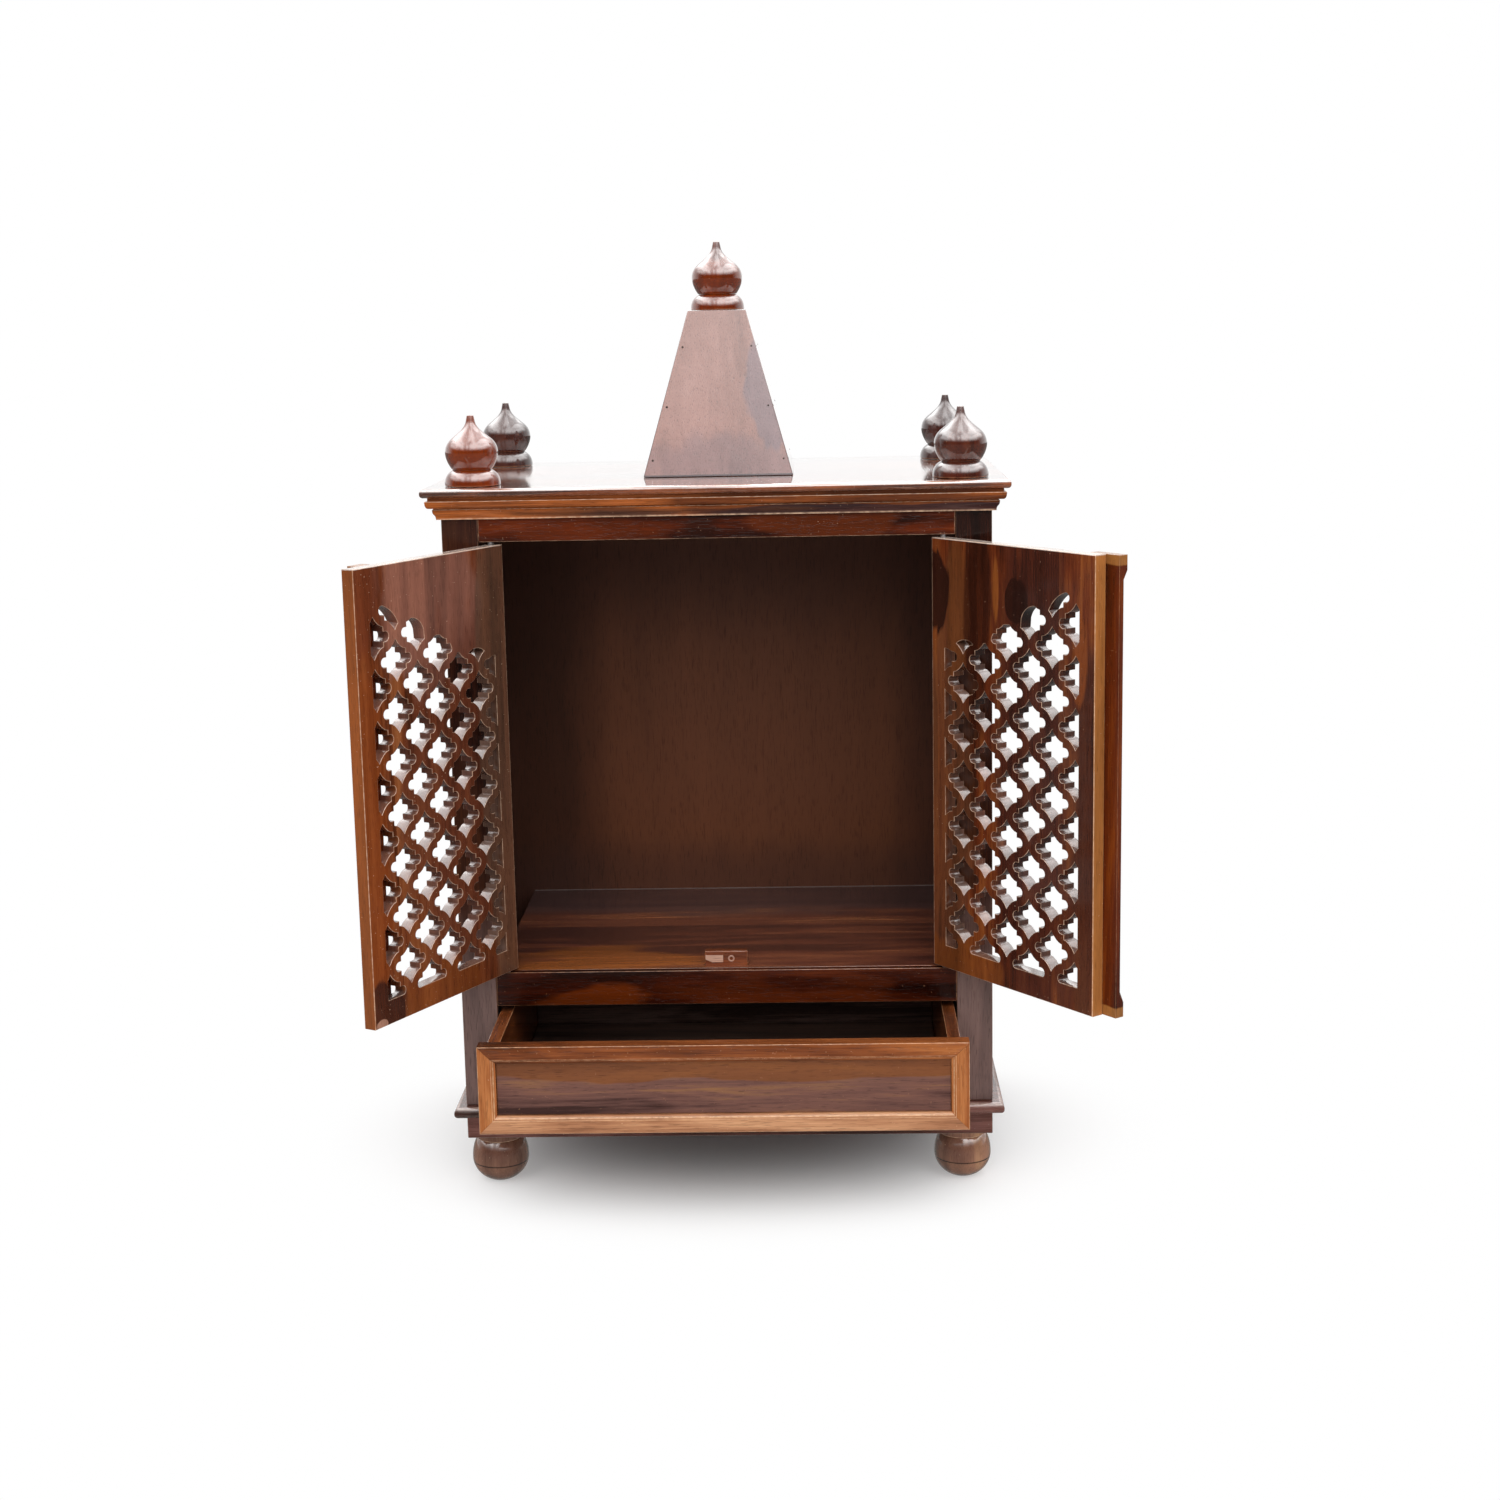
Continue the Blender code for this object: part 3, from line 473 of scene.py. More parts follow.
class Finish(Enum):
    """The finishes of the pieces, each named as its material."""

    POST = Wood(
        "#1a0c09 #33170f #422315 #542d19", heart=0.45, wear_and_sheen=0.35, coat=0.25,
        # pale mauve over the stiles' lower part: painted reflection of the bright floor
        stains_and_light=(StainAndLight(0.5, 0.0, 9.0, 0.30, "#7c6560", 0.75, 0.7, 0.4),),
    )
    SIDE = Wood("#20100c #3d2016 #582e1c #6f3f24", plank=0.12, wear_and_sheen=0.35, coat=0.3)
    PLINTH = Wood("#34201b #5d382f #754c45 #8c5c50", worn_and_lit="#b99f92", coat=0.3)
    TOP_RAIL = Wood(
        "#210803 #411503 #5d2105 #80380a", heart=0.3, coat=0.1, wear_and_sheen=1.0, worn_and_lit="#c9a184",
        flecks=0.4,
        stains_and_light=(
            StainAndLight(0.5, 0.47, 0.9, 0.04, "#260d05", 0.7, 0.5, 1.4),
            StainAndLight(0.3, 0.25, 0.6, 0.14, "#682807", 0.5, 0.6, 1.8),
            StainAndLight(0.4, 0.70, 0.5, 0.12, "#73300a", 0.5, 0.6, 1.8),
        ),
    )
    SHELF_RAIL = Wood(
        "#200904 #381105 #4c1b08 #6b2f0d", heart=0.4, coat=0.1, wear_and_sheen=0.8,
        stains_and_light=(
            StainAndLight(0.0, 0.20, 0.5, 0.09, "#743009", 0.7, 0.7, 2.4),
            StainAndLight(0.3, 0.68, 0.7, 0.20, "#5a240b", 0.6, 0.8, 2.8),
        ),
    )
    SHELF = Wood(
        "#48261e #713d2c #915438 #ac6c41", plank=0.085, plank_change=0.4, gloss=0.14, coat=0.8,
        stains_and_light=(
            # grey band at the back: painted reflection; thin pale line along the back edge: painted
            # highlight
            StainAndLight(1.0, 0.50, 0.34, 2.0, "#453c40", 0.75, 0.4, 0.5),
            StainAndLight(1.0, 0.50, 0.018, 2.0, "#b9aca8", 0.6, 0.3, 0.2),
            StainAndLight(0.06, 0.22, 0.18, 0.20, "#b06428", 0.7, 0.6, 1.2),
        ),
    )
    LEFT_LEAF = replace(
        LEAF_BASE, tones="#411f0e #6e371e #814728 #955933", heart=0.05, plank=0.062,
        stains_and_light=(
            StainAndLight(0.55, 0.90, 0.33, 0.20, "#906153", 0.75, 0.3, 0.7),
            StainAndLight(0.40, 0.40, 0.36, 0.44, "#603426", 0.6, 0.4, 0.8),
            StainAndLight(0.95, 0.45, 0.09, 0.60, "#813d18", 0.7, 0.4, 0.8),
            StainAndLight(0.96, 0.92, 0.16, 0.14, "#683422", 0.6, 0.5, 0.8),
            StainAndLight(0.08, 0.55, 0.13, 0.75, "#5d4537", 0.7, 0.25, 0.6),
            StainAndLight(0.93, 0.03, 0.13, 0.07, "#2e1815", 0.85, 0.2, 0.6),
            StainAndLight(0.50, 0.02, 0.26, 0.07, "#83441b", 0.6, 0.4, 0.8),
            StainAndLight(1.00, 0.50, 0.004, 5.0, "#84461d", 0.9, 0.3, 0.0),
            # thin pale line on the leaf's top face: painted highlight from light above
            StainAndLight(0.50, 1.00, 9.0, 0.0022, "#d7c5b9", 0.85, 0.3, 0.0),
            StainAndLight(0.955, 0.006, 0.035, 0.012, "#ad816c", 0.8, 0.2, 0.6),
        ),
    )
    RIGHT_LEAF = replace(
        LEAF_BASE, tones="#39180c #672e16 #81441f #985527", heart=0.2, plank=0.061,
        plank_change=0.35,
        stains_and_light=(
            StainAndLight(0.35, 0.50, 0.30, 0.60, "#40201a", 0.7, 0.4, 0.6),
            StainAndLight(0.88, 0.40, 0.13, 0.60, "#673f29", 0.65, 0.4, 0.8),
            StainAndLight(0.83, 0.84, 0.07, 0.20, "#6e3e20", 0.7, 0.35, 0.7),
            StainAndLight(0.05, 0.35, 0.07, 0.40, "#402016", 0.8, 0.5, 0.8),
            StainAndLight(0.70, 0.85, 0.08, 0.30, "#35180f", 0.8, 0.3, 0.6),
            StainAndLight(0.585, 0.90, 0.018, 0.07, "#8a4d22", 0.8, 0.4, 0.4),
            StainAndLight(0.46, 0.88, 0.07, 0.05, "#24100c", 0.8, 0.15, 0.5),
            StainAndLight(0.09, 0.78, 0.045, 0.10, "#7d3f1b", 0.8, 0.3, 0.6),
            StainAndLight(0.78, 0.02, 0.25, 0.06, "#7c421c", 0.75, 0.3, 0.8),
            StainAndLight(1.00, 0.88, 0.13, 0.10, "#26120f", 0.9, 0.15, 0.7),
            StainAndLight(0.00, 0.50, 0.004, 5.0, "#b3733d", 0.95, 0.3, 0.0),
            # thin pale line on the leaf's top face: painted highlight from light above
            StainAndLight(0.50, 1.00, 9.0, 0.0022, "#e6d3c6", 0.85, 0.3, 0.0),
        ),
    )
    STRIP = Wood(
        "#280b02 #481603 #5b2005 #7a370c", heart=0.15, wear_and_sheen=0.9, coat=0.3,
        stains_and_light=tuple(
            StainAndLight(0.5, end, 2.0, 0.022, "#9a6432", 0.9, 0.2, 0.2) for end in (0.0, 1.0)
        ),
    )
    # Drawer frame: the top length (also the drawer's sides) is the darker copy, painted shade; the
    # bottom length below is the lighter copy, painted light from below
    FRAME = replace(FRAME_BASE, tones="#472512 #753d1e #8f4f28 #a96535")
    FRAME_END = replace(FRAME_BASE, tones="#502914 #864824 #a36032 #be7b47", worn_and_lit="#dcb088")
    FRAME_LOW = replace(
        FRAME_BASE, tones="#70452e #a87351 #c59069 #ddb184", heart=0.0, worn_and_lit="#e0b48c"
    )
    PANEL = Wood(
        "#3b2420 #62423b #734e43 #895f3f", heart=0.12, figure=0.8, coat=0.2,
        stains_and_light=(StainAndLight(1.0, 0.45, 0.34, 0.9, "#744322", 0.85, 0.15, 0.8),),
    )
    MOULDING = Wood(
        # bright edge colour: rubbing and painted highlight on the noses
        "#673316 #a85a27 #ce7438 #f8a555", wear_and_sheen=0.9, worn_and_lit="#f0c8a6", coat=0.2,
        stains_and_light=(
            # dark grey-purple on the lowest member under the nose: painted shade
            StainAndLight(0.14, 0.80, 0.24, 0.50, "#35252a", 0.9, 0.4, 1.0),
            StainAndLight(0.22, 0.35, 0.20, 0.22, "#643d27", 0.6, 0.6, 1.5),
        ),
    )
    ROOF = Wood(
        "#481f0c #8a4520 #aa5d2d #c47b42", plank=0.095, gloss=0.10, coat=1.0, coat_ior=2.0,
        worn_and_lit="#e0b8a4",
    )
    SPIRE = Wood(
        # pale grey-mauve tones: the wood's colour lightened to paint its reflection of the white
        # surroundings; the dark edge colour darkens the eased edges
        "#523933 #8b655b #9c746a #ad877e", heart=0.0, contrast=0.4, figure=0.5, gloss=0.24,
        coat=1.0, coat_ior=1.55, specular=0.5, wear_and_sheen=0.8, worn_and_lit="#3a2a2c", flecks=0.0,
        stains_and_light=(
            # blue-grey on the right: painted reflection
            StainAndLight(0.92, 0.55, 0.25, 0.42, "#655a64", 0.6, 0.12, 0.5),
            StainAndLight(0.60, 0.05, 0.60, 0.20, "#5e4c53", 0.5, 0.6, 0.8),
            StainAndLight(0.50, 0.00, 9.0, 0.012, "#291e24", 0.85, 0.4, 0.3),
        ),
    )
    TURNED = replace(TURNED_BASE, tones="#491602 #6c2503 #7f3104 #93440a", coat_ior=1.6)
    DARK_TURNED = replace(
        TURNED_BASE, tones="#241210 #3a1f1a #472821 #533026", coat_ior=1.45, specular=0.3,
        flecks=0.5,
    )
    RED_TURNED = replace(TURNED_BASE, tones="#361510 #4c2014 #5c2b1a #6d3920")
    FOOT = Wood(
        "#55372b #855e4b #9f7259 #bc8f69", figure=0.7, contrast=0.45, gloss=0.14, coat=0.9,
        coat_ior=1.55, wear_and_sheen=0.9, worn_and_lit="#d8b08c", flecks=0.5, ripple=1.2,
        stains_and_light=(
            StainAndLight(0.45, 0.66, 0.30, 0.24, "#643f36", 0.5, 0.8, 1.0),
            StainAndLight(0.5, 0.385, 9.0, 0.013, "#25150f", 0.85, 0.3, 0.0),
        ),
    )
    BACK = Wood(
        "#4a2919 #6a3d25 #744329 #824c2c", heart=0.0, contrast=0.25, figure=0.25, gloss=0.5,
        coat=0.0, flecks=0.0,
        stains_and_light=(
            # darker towards the left, right and top edges: painted shade inside the cabinet; then a
            # darker band low down
            StainAndLight(0.0, 0.50, 0.20, 2.0, "#2f180f", 0.8, 0.9, 0.2),
            StainAndLight(1.0, 0.50, 0.14, 2.0, "#3d2118", 0.75, 0.9, 0.2),
            StainAndLight(0.5, 0.95, 2.0, 0.22, "#502c1e", 0.6, 0.9, 0.2),
            StainAndLight(0.5, 0.20, 2.0, 0.10, "#3c2520", 0.5, 0.9, 0.3),
        ),
    )
    INSIDE = Wood("#3d2a23 #6b554d #7c6256 #8e7264", gloss=0.45, coat=0.0, wear_and_sheen=0.2, flecks=0.0)
    CATCH = Wood("#532814 #7b3f24 #93522e #ab6439", heart=0.1)
    CATCH_PLATE = Wood("#8d6656 #ac8270 #bf9580 #d0a892", heart=0.0, gloss=0.35)
    PIN_STEEL = Metal("#b9babd")
    NAIL_HEAD = Metal("#2b2320", 0.55)


@cache
def material_of(finish: Finish) -> bpy.types.Material:
    """Return a finish's material, built at its first use."""
    return finish.value.material(finish.name.lower())


def add_object(name: str, data: bpy.types.ID) -> bpy.types.Object:
    """Add an object to the scene.

    Args:
        name: Its name.
        data: Its mesh, lamp or camera.

    Returns:
        The new object.
    """
    item = bpy.data.objects.new(name, data)
    bpy.context.scene.collection.objects.link(item)
    return item


class Run(Enum):
    """Which axes lie across, through and along the grain."""

    UPRIGHT = (0, 1, 2)
    LEVEL = (2, 1, 0)
    DEEP = (0, 2, 1)
    FLAT_LEVEL = (1, 2, 0)
    SIDE_UPRIGHT = (1, 0, 2)


@dataclass
class Piece:
    """One finished piece: where it rides, what it is made of and what it stands for."""

    name: str
    body: str
    finish: Finish
    slot: str
    run: Run = Run.UPRIGHT
    stands_for: Sequence[str] = ()
    smooth: bool = False

    SEEDS = 97
    SEED_MOVE = (0.31, 0.83)
    SMALLEST_SPAN = 1e-6

    def finish_mesh(self, shape: Shape, place: Matrix | None = None) -> None:
        """Turn a bmesh into the finished piece.

        Args:
            shape: The mesh in its own coordinates, with an arris layer where it is worn.
            place: The move to its place at rest.
        """
        bmesh.ops.recalc_face_normals(shape, faces=shape.faces)
        self._lay_grain(shape)
        mesh = bpy.data.meshes.new(self.name)
        shape.to_mesh(mesh)
        shape.free()
        if self.smooth:
            mesh.shade_smooth()
            mesh.set_sharp_from_angle(angle=SMOOTH_ANGLE)
        if place is not None:
            mesh.transform(place)
        item = add_object(self.name, mesh)
        mesh.materials.append(material_of(self.finish))
        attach(item, self.body)
        if self.stands_for:
            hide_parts(*self.stands_for)
        LOG.info("%s: %d faces", self.name, len(mesh.polygons))

    def ease(self, radius: float, place: Matrix | None = None) -> None:
        """Make the piece as the CAD node that it stands for, with eased edges.

        Args:
            radius: The rounding.
            place: The move to its place at rest, from where its axes lie along it.
        """
        shape = solid_copy(self.stands_for[0], place and place.inverted())
        round_edges(shape, radius)
        self.finish_mesh(shape, place)

    def _lay_grain(self, shape: Shape) -> None:
        """Write the grain coordinates, moved by the piece's own amount, and size shares.

        Args:
            shape: The mesh to write to.
        """
        grain = shape.verts.layers.float_vector.new("grain")
        place = shape.verts.layers.float_vector.new("place")
        seed = sum(ord(letter) * (i + 1) for i, letter in enumerate(self.name)) % self.SEEDS
        offset = Vector((0.0, self.SEED_MOVE[0] * seed, self.SEED_MOVE[1] * seed))
        spans = []
        for axis in self.run.value:
            values = [vert.co[axis] for vert in shape.verts]
            spans.append((min(values), max(max(values) - min(values), self.SMALLEST_SPAN)))
        for vert in shape.verts:
            local = Vector(vert.co[axis] for axis in self.run.value)
            vert[grain] = local + offset
            vert[place] = Vector((local[i] - spans[i][0]) / spans[i][1] for i in range(3))


def ease_all(body: str, radius: float, batches: Iterable[tuple[str, Finish, str, Run]]) -> None:
    """Make boards as their CAD nodes with eased edges.

    Args:
        body: The body that they ride on.
        radius: The rounding.
        batches: Names of nodes, with their finish, their slot and the run of their grain.
    """
    for nodes, finish, slot, run in batches:
        for node in nodes.split():
            Piece(node + "_eased", body, finish, slot, run, [node]).ease(radius)


def arris_layer(shape: Shape) -> bmesh.types.BMLayerItem:
    """Return the layer that says where edges are worn."""
    return shape.verts.layers.float.get("arris") or shape.verts.layers.float.new("arris")


def round_edges(
    shape: Shape,
    radius: float,
    steps: int = ARRIS_STEPS,
    chosen: Iterable[bmesh.types.BMEdge] | None = None,
) -> None:
    """Round the sharp edges of a shape and note where they are.

    Args:
        shape: The mesh to change.
        radius: The rounding.
        steps: Faces across the rounding.
        chosen: The edges, or all that are sharp and not too short.
    """
    layer = arris_layer(shape)
    if chosen is None:
        chosen = [
            edge
            for edge in shape.edges
            if edge.is_manifold
            and edge.calc_face_angle() > SHARP_ANGLE
            and edge.calc_length() > SHORTEST_EDGE
        ]
    result = bmesh.ops.bevel(
        shape,
        geom=list(chosen),
        offset=radius,
        segments=steps,
        profile=0.5,
        affect="EDGES",
        clamp_overlap=True,
    )
    fresh = set(result["faces"])
    for face in fresh:
        face.smooth = True
    for vert in shape.verts:
        if vert.link_faces and all(face in fresh for face in vert.link_faces):
            vert[layer] = 1.0


def solid_copy(node: str, undo: Matrix | None = None) -> Shape:
    """Return a CAD node's shape with its loose triangles merged.

    Args:
        node: The node's name.
        undo: A move to other coordinates.

    Returns:
        The merged shape.
    """
    shape = bmesh.new()
    shape.from_mesh(frame["nodes"][node].data)
    if undo is not None:
        shape.transform(undo)
    bmesh.ops.remove_doubles(shape, verts=shape.verts, dist=MERGE_DISTANCE)
    bmesh.ops.dissolve_limit(shape, angle_limit=FLAT_ANGLE, verts=shape.verts, edges=shape.edges)
    for face in shape.faces:
        face.smooth = False
    return shape


def ring_of(shape: Shape, points: Iterable[Triple], wear_and_sheen: Iterable[float] = ()) -> Ring:
    """Add a ring of vertices.

    Args:
        shape: The mesh to add to.
        points: Their places.
        wear_and_sheen: How worn the edge is at each of them, or nothing where none is.

    Returns:
        The new vertices.
    """
    layer = arris_layer(shape)
    ring = [shape.verts.new(point) for point in points]
    for vert, share in zip(ring, wear_and_sheen):
        vert[layer] = share
    return ring


def wear_at(section: Iterable[Pair], worn_and_lit: Sequence[Pair]) -> list[float]:
    """Return 1 for each point of a section that shows wear and 0 for the others."""
    return [float(point in worn_and_lit) for point in section]


def join_rings(shape: Shape, rings: Sequence[Ring], ends: bool = True) -> None:
    """Join equal rings of vertices by quads.

    Args:
        shape: The mesh to add to.
        rings: The rings in order.
        ends: Whether the first and the last are closed by a face.
    """
    for first, second in zip(rings, rings[1:]):
        for i, j in around(len(first)):
            shape.faces.new((first[i], first[j], second[j], second[i]))
    if ends:
        shape.faces.new(rings[0])
        shape.faces.new(rings[-1])


def around(count: int) -> list[tuple[int, int]]:
    """Return each number below a count and the one after it, round to 0 again."""
    return [(i, (i + 1) % count) for i in range(count)]


def arc(centre: Pair, radius: float, start: float, end: float, steps: int) -> list[Pair]:
    """Return points along an arc, angles in degrees."""
    angles = (math.radians(start + (end - start) * i / steps) for i in range(steps + 1))
    return [(centre[0] + radius * math.cos(a), centre[1] + radius * math.sin(a)) for a in angles]


def curve(corners: Sequence[Pair], steps: int) -> list[Pair]:
    """Return points along a cubic curve, without its first point.

    Args:
        corners: Its start, the two points that pull it, and its end.
        steps: The number of points.

    Returns:
        The points.
    """
    points = []
    for i in range(1, steps + 1):
        t = i / steps
        weights = ((1 - t) ** 3, 3 * (1 - t) ** 2 * t, 3 * (1 - t) * t * t, t ** 3)
        points.append(tuple(sum(w * c[k] for w, c in zip(weights, corners)) for k in (0, 1)))
    return points


def turned(profile: Sequence[Pair], worn_and_lit: Sequence[Pair]) -> Shape:
    """Turn a profile of radius and height about Z, closed at both ends.

    Args:
        profile: Points from the bottom's middle to the top's middle.
        worn_and_lit: Those points whose ring shows wear.

    Returns:
        The turned shape.
    """
    shape = bmesh.new()
    angles = [2 * math.pi * i / TURNING_STEPS for i in range(TURNING_STEPS)]
    rings = []
    for radius, height in profile[1:-1]:
        points = [(radius * math.cos(angle), radius * math.sin(angle), height) for angle in angles]
        rings.append(ring_of(shape, points, wear_at([(radius, height)], worn_and_lit) * TURNING_STEPS))
    join_rings(shape, rings, ends=False)
    for ring, (_, height) in ((rings[0], profile[0]), (rings[-1], profile[-1])):
        pole = shape.verts.new((0.0, 0.0, height))
        for i, j in around(TURNING_STEPS):
            shape.faces.new((ring[i], ring[j], pole))
    return shape


@dataclass
class Turning:
    """The turned feet and finials."""

    foot_sole: float = 0.012
    belly: float = 0.0255
    ball_steps: int = 14
    foot_neck: float = 0.0245
    foot_pulls: Triple = (0.5, 1.12, 0.12)
    collar: float = 0.0262
    collar_height: float = 0.0075
    bell_lip: float = 0.0018
    bell_height: float = 0.0166
    bell_shoulder: float = 0.0252
    bell_pulls: Pair = (0.57, 0.86)
    neck: float = 0.0203
    onion_low: float = 0.0172
    onion_low_radius: float = 0.0210
    onion_low_pull: float = 0.0243
    fullness: float = 0.0350
    onion_pulls: Pair = (0.13, 0.36)
    shoulder: float = 0.0499
    shoulder_radius: float = 0.0196
    tip_low: float = 0.068
    tip_low_radius: float = 0.0046
    tip: float = 0.0036
    ogee_low_pull: Pair = (0.61, 0.33)
    ogee_high_pull: Pair = (1.2, 0.42)
    foot_steps: int = 12
    finial_steps: tuple[int, int, int] = (10, 18, 12)
    arris: float = 0.0006
    finial_finishes: dict[str, Finish] = field(
        default_factory=lambda: {
            "finial_back_left": Finish.DARK_TURNED,
            "finial_back_right": Finish.DARK_TURNED,
            "finial_front_right": Finish.RED_TURNED,
        }
    )

    def foot_profile(self, radius: float, height: float) -> Outline:
        """Draw a low ball under a collar.

        Args:
            radius: The ball's radius.
            height: The foot's height.

        Returns:
            The outline and its worn edges.
        """
        reach = self.belly / math.sqrt(1 - (self.foot_sole / radius) ** 2)
        start = -math.acos(self.foot_sole / radius)
        turns = [start * (1 - i / self.ball_steps) for i in range(self.ball_steps + 1)]
        lower = [(radius * math.cos(a), self.belly + reach * math.sin(a)) for a in turns]
        collar_low = height - self.collar_height
        rise = collar_low - self.belly
        up, out, down = self.foot_pulls
        pulls = (radius, self.belly + rise * up), (self.foot_neck * out, collar_low - rise * down)
        neck = (self.foot_neck, collar_low)
        upper = curve(((radius, self.belly), *pulls, neck), self.foot_steps)
        rim = self.arris * 2
        low_edge = arc((self.collar - rim, collar_low + rim), rim, -90, 0, 4)
        high_edge = arc((self.collar - rim, height - rim), rim, 0, 90, 3)
        profile = [(0.0, 0.0)] + lower + upper + low_edge + high_edge
        return profile + [(0.0, height)], low_edge[1:4]

    def finial_profile(self, radius: float, height: float) -> Outline:
        """Draw an onion on a bell.

        Args:
            radius: The bell's radius.
            height: The finial's height.

        Returns:
            The outline and its worn edges.
        """
        lip = (radius, self.bell_lip)
        low, high = (self.bell_height * share for share in self.bell_pulls)
        neck = (self.neck, self.bell_height)
        bell = curve((lip, (radius, low), (self.bell_shoulder, high), neck), self.finial_steps[0])
        edge = (self.onion_low_radius, self.onion_low)
        shoulder = (self.shoulder_radius, self.shoulder)
        rise = self.shoulder - self.onion_low
        low_pull = (self.onion_low_pull, self.onion_low + rise * self.onion_pulls[0])
        high_pull = (self.fullness, self.shoulder - rise * self.onion_pulls[1])
        onion = curve((edge, low_pull, high_pull, shoulder), self.finial_steps[1])
        tip = (self.tip_low_radius, self.tip_low)
        taper = self.tip_low - self.shoulder
        inward, up = self.ogee_low_pull
        low_pull = (self.shoulder_radius * inward, self.shoulder + taper * up)
        outward, down = self.ogee_high_pull
        high_pull = (self.tip_low_radius * outward, self.tip_low - taper * down)
        ogee = curve((shoulder, low_pull, high_pull, tip), self.finial_steps[2])
        top = arc((self.tip - self.arris, height - self.arris), self.arris, 0, 90, 3)
        profile = [(0.0, 0.0), (radius - self.arris, 0.0), (radius, self.arris), lip]
        profile += bell + [(self.neck, self.onion_low), edge] + onion + ogee + top + [(0.0, height)]
        return profile, [(radius, self.arris), edge, top[1]]

    def build(self) -> None:
        """Make the four feet and the five finials in their CAD nodes' places."""
        for node in sorted(frame["nodes"]):
            if node.startswith("foot_"):
                self._turn(node, Finish.FOOT)
            elif "finial" in node:
                self._turn(node, self.finial_finishes.get(node, Finish.TURNED))

    def _turn(self, node: str, finish: Finish) -> None:
        """Make one turned piece in its node's place.

        Args:
            node: The CAD node.
            finish: The piece's finish.
        """
        low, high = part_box(node)
        profile = self.foot_profile if finish is Finish.FOOT else self.finial_profile
        shape = turned(*profile((high[0] - low[0]) / 2, high[2] - low[2]))
        place = Matrix.Translation(((low[0] + high[0]) / 2, (low[1] + high[1]) / 2, low[2]))
        piece = Piece(node + "_turned", "cabinet", finish, "turned_wood", stands_for=[node])
        piece.smooth = True
        piece.finish_mesh(shape, place)


@dataclass
class Carcass:
    """The cabinet's boards, rails and panels."""

    arris: float = 0.0009
    edge_steps: int = 8
    roof_nosing: float = 0.0038
    base_nosing: float = 0.0054
    worn_share: float = 0.35
    low_wear: float = 0.2

    def build(self) -> None:
        """Make every board of the cabinet."""
        ease_all("cabinet", self.arris, (
            ("stile_left stile_right", Finish.POST, "dark_wood", Run.UPRIGHT),
            ("side_panel_left side_panel_right", Finish.SIDE, "dark_wood", Run.SIDE_UPRIGHT),
            ("back_panel", Finish.BACK, "inside_wood", Run.UPRIGHT),
            ("bottom_rail plinth_front plinth_back", Finish.PLINTH, "dark_wood", Run.LEVEL),
            ("plinth_left plinth_right", Finish.PLINTH, "dark_wood", Run.DEEP),
            ("shelf_rail", Finish.SHELF_RAIL, "red_wood", Run.LEVEL),
            ("top_rail", Finish.TOP_RAIL, "red_wood", Run.LEVEL),
            ("shelf_board", Finish.SHELF, "red_wood", Run.FLAT_LEVEL),
            ("drawer_guide_left drawer_guide_right", Finish.INSIDE, "inside_wood", Run.DEEP),
            ("drawer_runner_left drawer_runner_right", Finish.INSIDE, "inside_wood", Run.DEEP),
        ))
        self._nosed("roof_board", self.roof_nosing, Finish.ROOF, "warm_wood")
        self._nosed("base_board", self.base_nosing, Finish.PLINTH, "dark_wood")

    def _nosed(self, node: str, nosing: float, finish: Finish, slot: str) -> None:
        """Make a board with a rounded front and sides.

        Args:
            node: The CAD node.
            nosing: The rounding.
            finish: The board's finish.
            slot: Its slot.
        """
        low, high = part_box(node)
        shape = bmesh.new()
        bmesh.ops.create_cube(shape, size=1.0)
        for vert in shape.verts:
            for axis in range(3):
                vert.co[axis] = low[axis] if vert.co[axis] < 0 else high[axis]
        thick = high[2] - low[2]
        long_edges = [
            edge
            for edge in shape.edges
            if edge.calc_length() > 2 * thick and min(v.co.y for v in edge.verts) < high[1] - thick
        ]
        round_edges(shape, nosing, self.edge_steps, long_edges)
        layer = arris_layer(shape)
        for vert in shape.verts:
            if high[2] - vert.co.z > nosing * self.worn_share:
                vert[layer] *= self.low_wear
        Piece(node + "_nosed", "cabinet", finish, slot, Run.FLAT_LEVEL, [node]).finish_mesh(shape)


